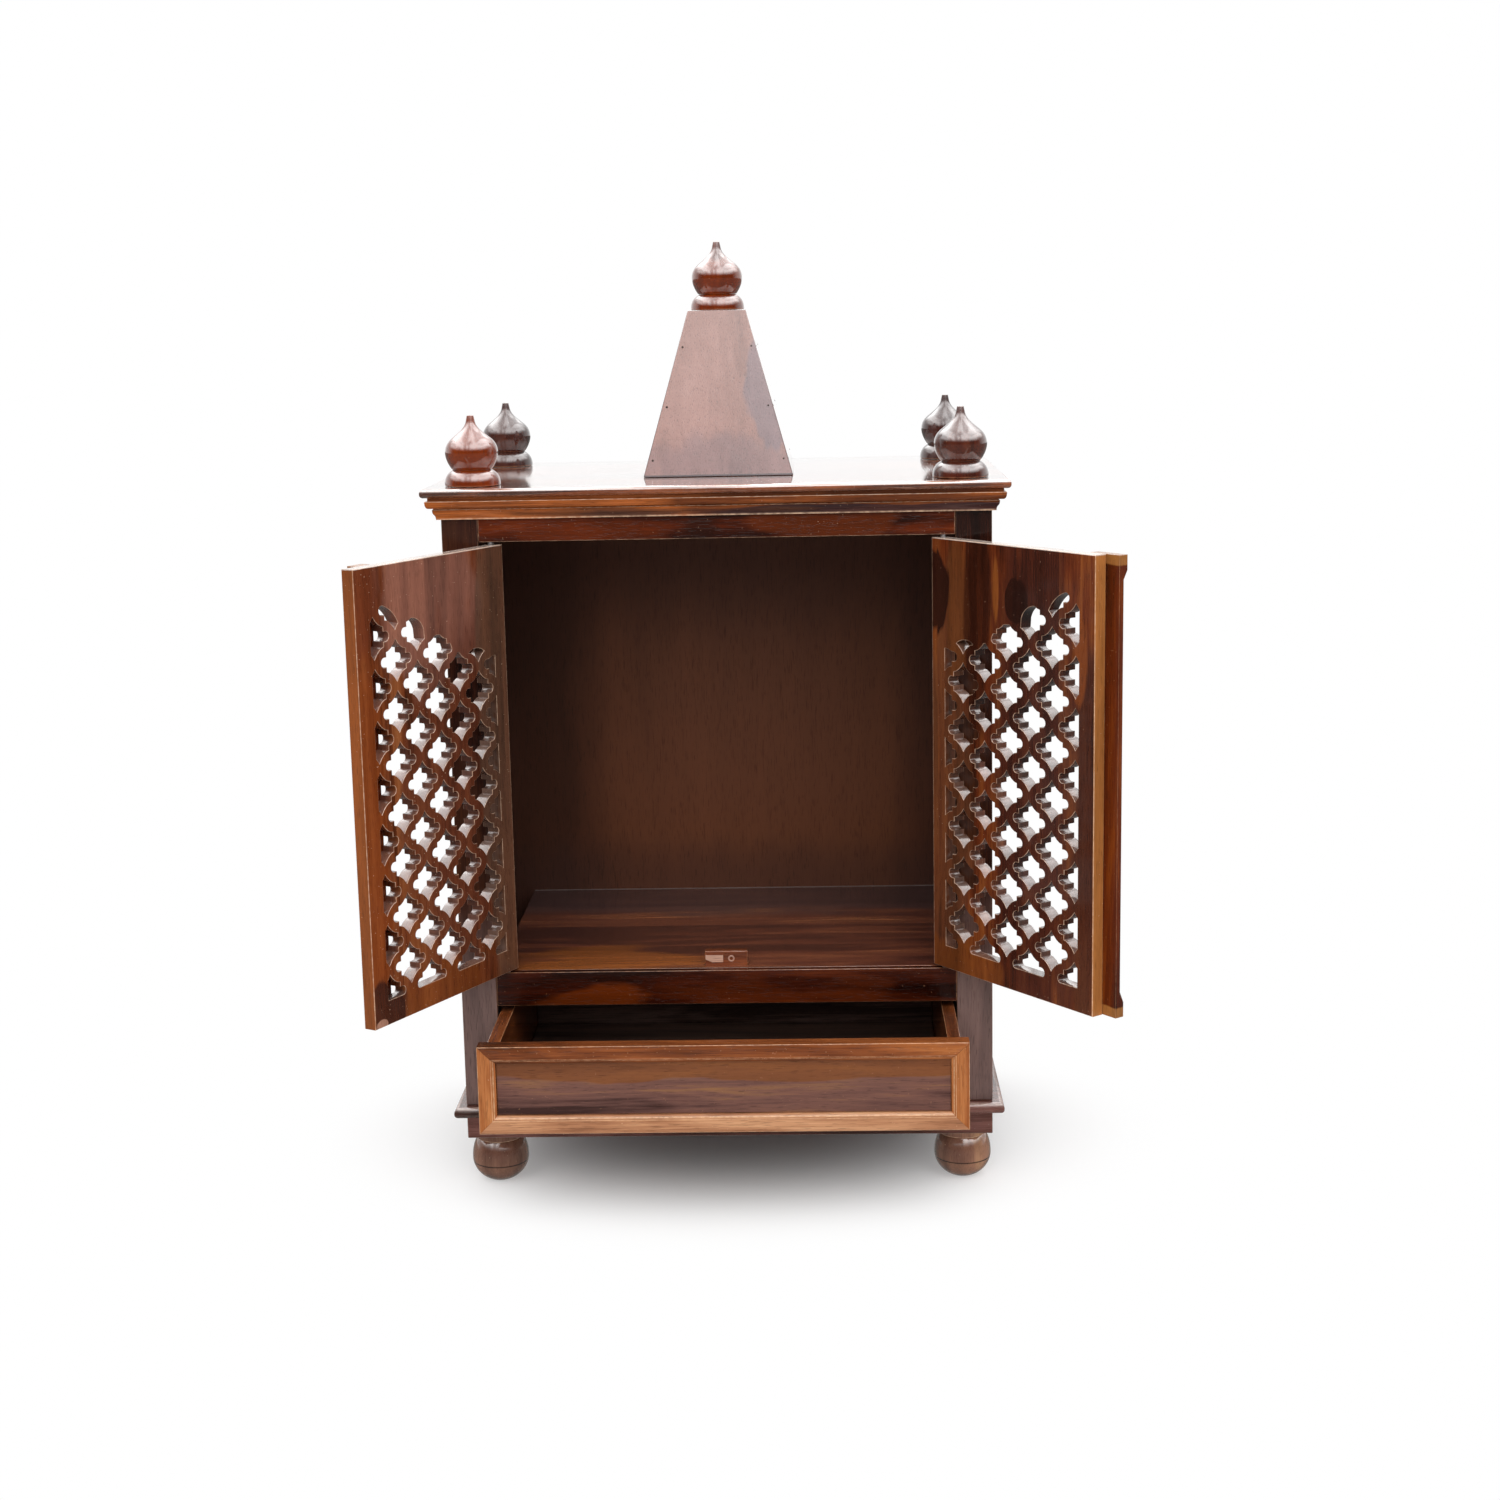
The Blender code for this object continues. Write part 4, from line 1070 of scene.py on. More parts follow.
@dataclass
class Cornice:
    """The stepped moulding under the roof, mitred at the front corners."""

    gap: float = 0.0003
    throat: float = 0.0115
    nose: float = 0.0143
    nose_low: float = 0.0105
    ogee_top: float = 0.0076
    ogee_low: float = 0.0043
    lip: float = 0.0007
    steps: int = 8
    ogee_share: float = 0.47
    nose_low_share: float = 0.52
    nose_high_share: float = 0.85
    ogee_pulls: Pair = (0.6, 0.35)
    nose_pulls: Pair = (0.97, 0.85)

    def profile(self, height: float) -> Outline:
        """Draw the section as reach and height.

        Args:
            height: The moulding's height.

        Returns:
            The section and its worn edges.
        """
        ogee_rise = height * self.ogee_share
        nose_low, nose_high = height * self.nose_low_share, height * self.nose_high_share
        foot = (self.ogee_low, 0.0)
        low, high = (ogee_rise * share for share in self.ogee_pulls)
        top = (self.ogee_top, ogee_rise - self.lip)
        ogee = curve((foot, (self.ogee_low, low), (self.ogee_top, high), top), self.steps)
        ledge = arc((self.ogee_top - self.lip, ogee_rise - self.lip), self.lip, 0, 90, 3)[1:]
        chin = (self.nose_low, nose_low)
        inward, up = self.nose_pulls
        pulls = (self.nose * inward, nose_low), (self.nose, nose_high * up)
        nose = curve((chin, *pulls, (self.nose, nose_high - self.lip)), self.steps)
        brow = arc((self.nose - self.lip, nose_high - self.lip), self.lip, 0, 90, 3)[1:]
        section = [(self.gap, 0.0), foot] + ogee + ledge
        section += [(self.ogee_top - 2 * self.lip, nose_low), chin] + nose + brow
        section += [(self.throat, nose_high), (self.throat, height), (self.gap, height)]
        # the listed edges are painted pale: rubbing, and on the nose and the ledge also painted
        # highlight
        return section, [foot, ledge[0], ledge[1], brow[0], brow[1], chin]

    def build(self) -> None:
        """Make the front length and the two side lengths."""
        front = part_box("stile_left")[0][1]
        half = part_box("stile_right")[1][0]
        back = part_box("cornice_left")[1][1]
        low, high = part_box("cornice_front")
        section, worn_and_lit = self.profile(high[2] - low[2])
        wear_and_sheen = wear_at(section, worn_and_lit)

        def end(side: int, inset: float, start: float, mitre: int) -> list[Triple]:
            """Return the section at one end of a length, with its depth."""
            return [(side * (half + r - inset), start - mitre * r, low[2] + h) for r, h in section]

        lengths = {"front": [end(side, self.gap, front, 1) for side in (-1, 1)]}
        for side, name in ((-1, "left"), (1, "right")):
            lengths[name] = [end(side, 0.0, front + self.gap, 1), end(side, 0.0, back, 0)]
        for name, ends in lengths.items():
            run = Run.LEVEL if name == "front" else Run.DEEP
            node = f"cornice_{name}"
            shape = bmesh.new()
            join_rings(shape, [ring_of(shape, points, wear_and_sheen) for points in ends])
            piece = Piece(node + "_moulding", "cabinet", Finish.MOULDING, "warm_wood", run, [node])
            piece.smooth = True
            piece.finish_mesh(shape)


class SetOut(Nodes):
    """A Geometry Nodes tree that sets one shape out on many points."""

    def __init__(self, name: str, inputs: dict[str, float]) -> None:
        """Build the tree.

        Args:
            name: The tree's name.
            inputs: Its numbers by name, besides a geometry and a material.
        """
        super().__init__(bpy.data.node_groups.new(name, "GeometryNodeTree"))
        ports = self.tree.interface
        ports.new_socket("Geometry", in_out="INPUT", socket_type="NodeSocketGeometry")
        for port, value in inputs.items():
            kind = "NodeSocketInt" if isinstance(value, int) else "NodeSocketFloat"
            ports.new_socket(port, in_out="INPUT", socket_type=kind).default_value = value
        ports.new_socket("Finish", in_out="INPUT", socket_type="NodeSocketMaterial")
        ports.new_socket("Geometry", in_out="OUTPUT", socket_type="NodeSocketGeometry")
        sockets = self.tree.nodes.new("NodeGroupInput").outputs
        self.given = {socket.name: Value(self, socket) for socket in sockets if socket.name}
        real = self.add("GeometryNodeRealizeInstances", {0: self._placed()})
        finish = {"Geometry": real, "Material": self.given["Finish"]}
        painted = self.add("GeometryNodeSetMaterial", finish)
        self.fill(self.tree.nodes.new("NodeGroupOutput"), {0: painted})

    def run(self, name: str, mesh: bpy.types.Mesh, inputs: dict[str, object]) -> bpy.types.Mesh:
        """Run the tree.

        Args:
            name: The new mesh's name.
            mesh: The geometry to run it on.
            inputs: The tree's inputs by name.

        Returns:
            A plain mesh.
        """
        holder = add_object(name + "_holder", mesh)
        modifier = holder.modifiers.new(self.tree.name, "NODES")
        modifier.node_group = self.tree
        for item in self.tree.interface.items_tree:
            if item.in_out == "INPUT" and item.name in inputs:
                modifier[item.identifier] = inputs[item.name]
        graph = bpy.context.evaluated_depsgraph_get()
        made = bpy.data.meshes.new_from_object(holder.evaluated_get(graph))
        made.name = name
        holder.modifiers.clear()
        bpy.data.objects.remove(holder)
        return made


class NailHeads(SetOut):
    """Nail heads on points that say which way they face."""

    SIDES = 12
    TOP_RADIUS = 0.0005
    SMALLEST, LARGEST = 0.8, 1.15

    def __init__(self) -> None:
        """Build the tree."""
        super().__init__("nail_heads", {"Radius": 0.0013, "Depth": 0.0003, "Seed": 4})

    def _placed(self) -> Value:
        """Set heads of a random size on the points.

        Returns:
            The heads.
        """
        given = self.given
        sizes = {"Vertices": self.SIDES, "Radius Top": self.TOP_RADIUS}
        sizes |= {"Radius Bottom": given["Radius"], "Depth": given["Depth"]}
        head = self.add("GeometryNodeMeshCone", sizes, "Mesh")
        kind = {"data_type": "FLOAT_VECTOR"}
        aim = self.add("GeometryNodeInputNamedAttribute", {"Name": "aim"}, "Attribute", **kind)
        turn = self.add("FunctionNodeAlignRotationToVector", {"Vector": aim}, "Rotation", axis="Z")
        spread = {2: self.SMALLEST, 3: self.LARGEST, "Seed": given["Seed"]}
        size = self.add("FunctionNodeRandomValue", spread, 1, data_type="FLOAT")
        inputs = {"Points": given["Geometry"], "Instance": head, "Rotation": turn, "Scale": size}
        return self.add("GeometryNodeInstanceOnPoints", inputs, "Instances")

    def scatter(self, name: str, body: str, places: Sequence[tuple[Vector, Vector]]) -> None:
        """Make the nail heads of one body.

        Args:
            name: The new piece's name.
            body: The body that they ride on.
            places: A point and the way the surface faces there, for each nail.
        """
        points = bpy.data.meshes.new(name + "_points")
        points.from_pydata([tuple(place) for place, _ in places], [], [])
        aims = points.attributes.new("aim", "FLOAT_VECTOR", "POINT")
        for entry, (_, aim) in zip(aims.data, places):
            entry.vector = aim
        mesh = self.run(name, points, {"Finish": material_of(Finish.NAIL_HEAD)})
        item = add_object(name, mesh)
        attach(item, body)
        LOG.info("%s: %d nails", name, len(places))


@dataclass
class Spire:
    """The hollow pyramid of four boards, nailed at its edges."""

    arris: float = 0.0005
    nail_heights: tuple[float, ...] = (0.10, 0.42, 0.78)
    nail_inset: float = 0.005
    nail_lift: float = 0.00008
    nails: NailHeads = field(default_factory=NailHeads)

    def build(self) -> None:
        """Make the four boards and their nails."""
        side_low, side_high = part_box("spire_left")
        middle = Vector((0.0, (side_low[1] + side_high[1]) / 2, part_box("spire_front")[0][2]))
        places = []
        for name, turn in (("front", 0), ("right", 90), ("back", 180), ("left", 270)):
            node = f"spire_{name}"
            spin = Matrix.Rotation(math.radians(turn), 4, "Z")
            place = Matrix.Translation(middle) @ spin
            base, top, height = self._measure(solid_copy(node, place.inverted()))
            piece = Piece(node + "_board", "cabinet", Finish.SPIRE, "warm_wood", stands_for=[node])
            piece.ease(self.arris, place)
            lean = math.atan2(base - top, height)
            facing = Vector((0.0, -math.cos(lean), math.sin(lean)))
            for share in self.nail_heights:
                half = base + (top - base) * share
                for side in (-1, 1):
                    point = Vector((side * (half - self.nail_inset), -half, height * share))
                    places.append((place @ (point + facing * self.nail_lift), spin @ facing))
        self.nails.scatter("spire_nails", "cabinet", places)

    @staticmethod
    def _measure(shape: Shape) -> Triple:
        """Measure a board and free it.

        Args:
            shape: The board, upright.

        Returns:
            Its half widths at its foot and top and its height.
        """
        height = max(vert.co.z for vert in shape.verts)
        base = max(vert.co.x for vert in shape.verts if vert.co.z < height / 2)
        top = max(vert.co.x for vert in shape.verts if vert.co.z > height / 2)
        shape.free()
        return base, top, height


class OpeningGrid(SetOut):
    """One opening's outline on a staggered grid."""

    def __init__(self) -> None:
        """Build the tree."""
        super().__init__("opening_grid", {"Across": 1, "Rows": 1, "Pitch": 1.0, "Rise": 1.0})

    def _grid(self, columns: Value, shift: float) -> Value:
        """Add a grid of points that starts at the origin.

        Args:
            columns: The number of points across.
            shift: A move by a share of the pitch and rise.

        Returns:
            The points.
        """
        pitch, rise, rows = (self.given[name] for name in ("Pitch", "Rise", "Rows"))
        width, height = (columns - 1.0) * pitch, (rows - 1.0) * rise
        sizes = {"Size X": width, "Size Y": height, "Vertices X": columns, "Vertices Y": rows}
        grid = self.add("GeometryNodeMeshGrid", sizes)
        x = width.work("MULTIPLY_ADD", 0.5, pitch * shift)
        y = height.work("MULTIPLY_ADD", 0.5, rise * shift)
        offset = self.add("ShaderNodeCombineXYZ", {0: x, 1: y})
        return self.add("GeometryNodeTransform", {"Geometry": grid, "Translation": offset})

    def _placed(self) -> Value:
        """Set the outline on two grids, the second a half step on.

        Returns:
            The outlines.
        """
        across = self.given["Across"]
        points = self.add("GeometryNodeJoinGeometry", {0: self._grid(across + 1.0, 0.0)})
        self.fill(points.socket.node, {0: self._grid(across, 0.5)})
        inputs = {"Points": points, "Instance": self.given["Geometry"]}
        return self.add("GeometryNodeInstanceOnPoints", inputs, "Instances")

    def lay_out(self, outline: Sequence[Pair], sizes: dict[str, object]) -> list[list[Pair]]:
        """Return the outlines of all openings, from the first one's place on.

        Args:
            outline: One opening about its own middle.
            sizes: The tree's inputs by name.

        Returns:
            One list of points for each opening.
        """
        mesh = bpy.data.meshes.new("opening")
        mesh.from_pydata([(x, z, 0.0) for x, z in outline], [], [list(range(len(outline)))])
        laid = self.run("openings", mesh, sizes)
        loops = [[tuple(laid.vertices[i].co[:2]) for i in face.vertices] for face in laid.polygons]
        bpy.data.meshes.remove(laid)
        return loops


@dataclass
class Jali:
    """The pierced pattern of a leaf, in metres from its hinge edge and its foot."""

    margin: float = 0.022
    bottom: float = 0.0248
    shift: float = 0.0043
    first_row: float = 0.0290
    across: int = 3
    rows: int = 8
    rise: float = 0.0515
    width: float = 0.0470
    height: float = 0.0420
    lobe: float = 0.0049
    shoulder: float = 0.0150
    shoulder_rise: float = 0.0099
    sag: float = 0.0011
    low_pull: Pair = (0.70, 0.10)
    high_pull: Pair = (0.25, 0.55)
    lobe_steps: int = 8
    flank_steps: int = 4
    arch_step: float = 0.0015
    foils: tuple[Triple, ...] = (
        (0.096, 0.711, 0.075),
        (0.224, 0.726, 0.096),
        (0.355, 0.733, 0.082),
        (0.485, 0.771, 0.103),
        (0.649, 0.831, 0.082),
        (0.874, 0.833, 0.157),
    )
    smallest: float = 0.000004
    grid: OpeningGrid = field(default_factory=OpeningGrid)

    def opening(self) -> list[Pair]:
        """Draw one opening about its own middle.

        Returns:
            Its outline, with two round lobes and two ogee points.
        """
        half_width, half_height = self.width / 2, self.height / 2
        right = [(self.shoulder, -self.lobe)]
        right += arc((half_width - self.lobe, 0.0), self.lobe, -90, 90, self.lobe_steps)
        right.append((self.shoulder, self.lobe))
        fall = half_height - self.shoulder_rise
        start = (self.shoulder, self.shoulder_rise)
        pulls = [
            (self.shoulder * run, self.shoulder_rise + fall * share - self.sag)
            for run, share in (self.low_pull, self.high_pull)
        ]
        upper = [start] + curve((start, *pulls, (0.0, half_height)), self.flank_steps)
        upper_left = [(-x, z) for x, z in reversed(upper[:-1])]
        half = right + upper + upper_left
        return half + [(-x, -z) for x, z in half]

    def arch(self, along: float, leaf_width: float, leaf_height: float) -> float:
        """Find the cusped arch's height.

        Args:
            along: The distance from the hinge edge.
            leaf_width: The leaf's width.
            leaf_height: The leaf's height.

        Returns:
            The height there.
        """
        heights = []
        for centre, level, radius in self.foils:
            rise = (radius * leaf_width) ** 2 - (along - centre * leaf_width) ** 2
            if rise > 0:
                heights.append(level * leaf_height + math.sqrt(rise))
        return max(heights)

    def openings(self, leaf_width: float, leaf_height: float) -> list[list[Pair]]:
        """Set all openings out and cut them to the field under the arch.

        Args:
            leaf_width: The leaf's width.
            leaf_height: The leaf's height.

        Returns:
            Closed outlines, each counterclockwise.
        """
        pitch = (leaf_width - 2 * self.margin) / self.across
        sizes = {"Across": self.across, "Rows": self.rows, "Pitch": pitch, "Rise": self.rise}
        start = (self.margin - self.shift, self.first_row)
        loops = self.grid.lay_out(self.opening(), sizes)
        loops = [[(x + start[0], z + start[1]) for x, z in loop] for loop in loops]
        low, high = self.margin, leaf_width - self.margin
        count = round((high - low) / self.arch_step)
        places = [low + (high - low) * i / count for i in range(count + 1)]
        arch = [(along, self.arch(along, leaf_width, leaf_height)) for along in reversed(places)]
        border = [(low, self.bottom), (high, self.bottom)] + arch
        return [loop for loop in cut_to(border, loops) if outline_area(loop) > self.smallest]


def outline_area(loop: list[Pair]) -> float:
    """Return an outline's area, positive where it runs counterclockwise."""
    return sum(a[0] * b[1] - b[0] * a[1] for a, b in zip(loop, loop[1:] + loop[:1])) / 2


def triangles_of(outlines: list[list], places: list[Vector], near: float) -> tuple:
    """Triangulate outlines that lie one after the other in a list of places.

    Args:
        outlines: The outlines, for their lengths.
        places: All their points.
        near: Points closer than this are one.

    Returns:
        The points, the triangles, the places behind each point and the outlines each lies in.
    """
    faces, start = [], 0
    for outline in outlines:
        faces.append(list(range(start, start + len(outline))))
        start += len(outline)
    laid = delaunay_2d_cdt(places, [], faces, KEEP_INSIDE, near)
    points, _, triangles, sources, _, origins = laid
    return points, triangles, sources, origins


def cut_to(border: list[Pair], loops: list[list[Pair]]) -> list[list[Pair]]:
    """Keep what lies inside the border of each outline.

    Args:
        border: The outline that cuts.
        loops: The outlines that are cut.

    Returns:
        The outlines of what is left, counterclockwise.
    """
    outlines = [border, *loops]
    places = [Vector(point) for outline in outlines for point in outline]
    points, triangles, _, origins = triangles_of(outlines, places, CUT_NEAR)
    sides = set()
    for triangle, origin in zip(triangles, origins):
        if 0 in origin and len(origin) > 1:
            sides |= {(triangle[i], triangle[j]) for i, j in around(3)}
    following = {a: b for a, b in sides if (b, a) not in sides}
    kept = []
    while following:
        first = min(following)
        loop = [first]
        while (after := following.pop(loop[-1])) != first:
            loop.append(after)
        kept.append(thin_out([tuple(points[i]) for i in loop]))
    return kept


def thin_out(loop: list[Pair], nearest: float = 0.00012) -> list[Pair]:
    """Drop points of an outline that all but coincide.

    Args:
        loop: The outline.
        nearest: The least distance between points.

    Returns:
        The points that are left.
    """
    kept = loop[:1]
    for point in loop[1:]:
        if math.dist(point, kept[-1]) > nearest and math.dist(point, loop[0]) > nearest:
            kept.append(point)
    return kept


def push_out(loop: list[Pair], amount: float) -> list[Pair]:
    """Move an outline's points outwards, less at its sharp points.

    Args:
        loop: The outline, counterclockwise.
        amount: How far.

    Returns:
        The moved points.
    """
    sharpest, farthest = 0.8, 1.6
    moved = []
    for before, point, after in zip(loop[-1:] + loop[:-1], loop, loop[1:] + loop[:1]):
        first = (Vector(point) - Vector(before)).normalized()
        second = (Vector(after) - Vector(point)).normalized()
        normal = Vector((first.y + second.y, -first.x - second.x))
        length = max(normal.length, sharpest)
        normal = normal.normalized() * amount * min(2.0 / length, farthest)
        moved.append((point[0] + normal.x, point[1] + normal.y))
    return moved


def facing_up(loop: list[Pair]) -> list[float]:
    """Tell how far the wall of an opening faces up at each point of its outline.

    Args:
        loop: The opening's outline, counterclockwise.

    Returns:
        1 where the wall faces up, 0 where it is upright and -1 where it faces down.
    """
    rises = []
    for before, after in zip(loop[-1:] + loop[:-1], loop[1:] + loop[:1]):
        length = math.dist(before, after) or 1.0
        rises.append((after[0] - before[0]) / length)
    return rises


def eased(radius: float, share: float) -> Pair:
    """Return how far a rounded edge lies in from the side and behind the face."""
    angle = share * math.pi / 2
    return radius * (1 - math.sin(angle)), radius * (1 - math.cos(angle))


@dataclass
class Leaf:
    """A pierced door leaf with eased edges and a rounded hinge edge, in its closed place."""

    side: int
    width: float
    height: float
    thick: float
    arris: float = 0.0008
    rim: float = 0.0006
    hinge_round: float = 0.0035
    steps: int = 4
    merge: float = 0.000004
    clear: float = 1.3

    def border(self, share: float) -> list[Triple]:
        """Return the leaf's edge at one step of its rounding.

        Args:
            share: 0 on the face, 1 on the edge.

        Returns:
            Points as distance from the hinge edge, height and depth behind the face.
        """
        hinge = eased(self.hinge_round, share)
        inset, depth = eased(self.arris, share)
        near = self.hinge_round * self.clear
        top, far = self.height - inset, self.width - inset
        return [
            (hinge[0], inset, hinge[1]),
            (near, inset, depth),
            (far, inset, depth),
            (far, top, depth),
            (near, top, depth),
            (hinge[0], top, hinge[1]),
        ]

    def shape(self, openings: list[list[Pair]]) -> Shape:
        """Build the leaf.

        Args:
            openings: The outlines of its openings.

        Returns:
            The leaf with X from the hinge edge, Y from the front face and Z from the foot.
        """
        shape = bmesh.new()
        self._face_and_edges(shape, openings)
        bmesh.ops.remove_doubles(shape, verts=shape.verts, dist=self.merge)
        if self.side > 0:
            for vert in shape.verts:
                vert.co.x = -vert.co.x
        bmesh.ops.recalc_face_normals(shape, faces=shape.faces)
        for edge in shape.edges:
            edge.smooth = edge.calc_face_angle(0.0) < SMOOTH_ANGLE
        return shape

    def _face_and_edges(self, shape: Shape, openings: list[list[Pair]]) -> None:
        """Add the two faces, the outer edge and the walls of the openings.

        Args:
            shape: The mesh to add to.
            openings: The outlines of the openings.
        """
        arris_layer(shape)
        # how far each opening wall faces up or down, used for painted highlight and painted shade
        # on the walls
        cut = shape.verts.layers.float.new("cut")
        shares = [i / self.steps for i in range(self.steps + 1)]
        outer: list[list[Ring]] = [[], []]
        rims: list[list[list[Ring]]] = [[], []]
        for back in (0, 1):
            for share in shares:
                outer[back].append(self._ring(shape, self.border(share), share, back))
            for loop in openings:
                rings = []
                for share in shares:
                    inset, depth = eased(self.rim, share)
                    points = [(x, z, depth) for x, z in push_out(loop, inset)]
                    rings.append(self._ring(shape, points, share, back))
                    for vert, rise in zip(rings[-1], facing_up(loop)):
                        vert[cut] = share * rise
                rims[back].append(rings)
            self._flat(shape, [outer[back][0]] + [rings[0] for rings in rims[back]])
        join_rings(shape, outer[0] + outer[1][::-1], ends=False)
        flat = len(shape.faces)
        for front, rear in zip(*rims):
            join_rings(shape, front + rear[::-1], ends=False)
        shape.faces.ensure_lookup_table()
        for wall in shape.faces[flat:]:
            wall.smooth = True

    def _ring(self, shape: Shape, points: list[Triple], share: float, back: int) -> Ring:
        """Add one ring of an eased edge.

        Args:
            shape: The mesh to add to.
            points: Points as distance from the hinge edge, height and depth behind the face.
            share: 0 on the face, 1 on the edge.
            back: 1 on the rear face.

        Returns:
            The new vertices.
        """
        places = [(x, self.thick - depth if back else depth, z) for x, z, depth in points]
        return ring_of(shape, places, [math.sin(share * math.pi)] * len(places))

    @staticmethod
    def _flat(shape: Shape, rings: list[Ring]) -> None:
        """Fill a face between its outer edge and the openings.

        Args:
            shape: The mesh to add to.
            rings: The outer edge first, then the openings' rims.
        """
        verts = [vert for ring in rings for vert in ring]
        places = [Vector((vert.co.x, vert.co.z)) for vert in verts]
        _, triangles, sources, origins = triangles_of(rings, places, FACE_NEAR)
        for triangle, origin in zip(triangles, origins):
            corners = [verts[sources[i][0]] for i in triangle]
            if origin == [0] and len(set(corners)) == 3:
                shape.faces.new(corners)


@dataclass
class Doors:
    """The two pierced doors with their strips and pins."""

    jali: Jali = field(default_factory=Jali)
    strip_arris: float = 0.0008

    def build(self) -> None:
        """Make both doors in their places at rest."""
        joints = {joint["name"]: joint for joint in frame["joints"]}
        for side, name, finish, strip in (
            (-1, "left", Finish.LEFT_LEAF, "batten"),
            (1, "right", Finish.RIGHT_LEAF, "astragal"),
        ):
            door = f"door_{name}"
            place = self._place(joints[door + "_hinge"])
            self._leaf(side, Piece(door + "_jali", door, finish, "red_wood"), place)
            node = f"{door}_{strip}"
            piece = Piece(node + "_strip", door, Finish.STRIP, "warm_wood", stands_for=[node])
            piece.ease(self.strip_arris, place)
            for end in ("top", "bottom"):
                pin = frame["nodes"][f"{door}_pin_{end}"]
                pin.data.materials.clear()
                pin.data.materials.append(material_of(Finish.PIN_STEEL))

    @staticmethod
    def _place(joint: dict) -> Matrix:
        """Return the move from a door's closed place about its pins to its place at rest."""
        turn = Matrix.Rotation(-math.radians(joint["range_deg"][0]), 4, Vector(joint["axis"]))
        return Matrix.Translation(joint["pos_m"]) @ turn

    def _leaf(self, side: int, piece: Piece, place: Matrix) -> None:
        """Make one pierced leaf.

        Args:
            side: -1 on the left, 1 on the right.
            piece: What the leaf is.
            place: The move to its place at rest.
        """
        piece.stands_for = [piece.body + "_panel"]
        solid = solid_copy(piece.stands_for[0], place.inverted())
        low, high = (
            Vector(pick(vert.co[axis] for vert in solid.verts) for axis in range(3))
            for pick in (min, max)
        )
        solid.free()
        size = high - low
        shape = Leaf(side, size.x, size.z, size.y).shape(self.jali.openings(size.x, size.z))
        corner = Vector((low.x if side < 0 else high.x, low.y, low.z))
        bmesh.ops.translate(shape, verts=shape.verts, vec=corner)
        piece.finish_mesh(shape, place)


@dataclass
class Drawer:
    """The drawer with a mitred frame and a sunk panel on its front."""

    frame_width: float = 0.0185
    bead: float = 0.0035
    quirk: float = 0.0005
    quirk_steps: Triple = (0.0016, 0.0009, 0.0006)
    lip: float = 0.0008
    mitre_gap: float = 0.00012
    arris: float = 0.0008
    bead_steps: int = 6

    def build(self) -> None:
        """Make the drawer's pieces."""
        self._frame()
        ease_all("drawer", self.arris, (
            ("drawer_front_panel", Finish.PANEL, "red_wood", Run.LEVEL),
            ("drawer_side_left drawer_side_right", Finish.FRAME, "warm_wood", Run.DEEP),
            ("drawer_back", Finish.INSIDE, "inside_wood", Run.LEVEL),
            ("drawer_bottom", Finish.INSIDE, "inside_wood", Run.FLAT_LEVEL),
        ))

    def section(self, thick: float) -> Outline:
        """Draw the frame's section as inset and depth.

        Args:
            thick: The frame's thickness.

        Returns:
            The section and its worn edges.
        """
        outer = arc((self.lip, self.lip), self.lip, 180, 270, 3)
        bead = arc((self.frame_width, 0.0), self.bead, 180, 90, self.bead_steps)
        bead = [(x, max(z, 0.0)) for x, z in bead]
        start = self.frame_width - self.bead
        first, second, third = (start - step for step in self.quirk_steps)
        quirk = [(first, 0.0), (second, 0.0), (third, self.quirk), (start, self.quirk)]
        section = outer + quirk + bead[1:] + [(self.frame_width, thick), (0.0, thick)]
        # the listed edges are painted pale: rubbing, and on the bead's crown also painted highlight
        return section, [outer[1], outer[2], quirk[1], bead[2], bead[3]]

    def _frame(self) -> None:
        """Make the four mitred lengths of the frame."""
        node = "drawer_front_frame"
        low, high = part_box(node)
        section, worn_and_lit = self.section(high[1] - low[1])
        corners = ((low[0], low[2]), (high[0], low[2]), (high[0], high[2]), (low[0], high[2]))
        lengths = (
            # the bottom length takes the lighter copy of the frame wood: painted light
            ("bottom", Run.LEVEL, Finish.FRAME_LOW),
            ("right", Run.UPRIGHT, Finish.FRAME_END),
            ("top", Run.LEVEL, Finish.FRAME),
            ("left", Run.UPRIGHT, Finish.FRAME_END),
        )
        for (i, j), (name, run, finish) in zip(around(4), lengths):
            start, end = Vector(corners[i]), Vector(corners[j])
            along = (end - start).normalized()
            inward = Vector((-along.y, along.x))
            shape = bmesh.new()
            rings = []
            for corner, way in ((start, 1), (end, -1)):
                points = []
                for inset, depth in section:
                    at = corner + inward * inset + along * way * (inset + self.mitre_gap)
                    points.append((at.x, low[1] + depth, at.y))
                rings.append(ring_of(shape, points, wear_at(section, worn_and_lit)))
            join_rings(shape, rings)
            piece = Piece(f"drawer_frame_{name}", "drawer", finish, "warm_wood", run, [node], True)
            piece.finish_mesh(shape)


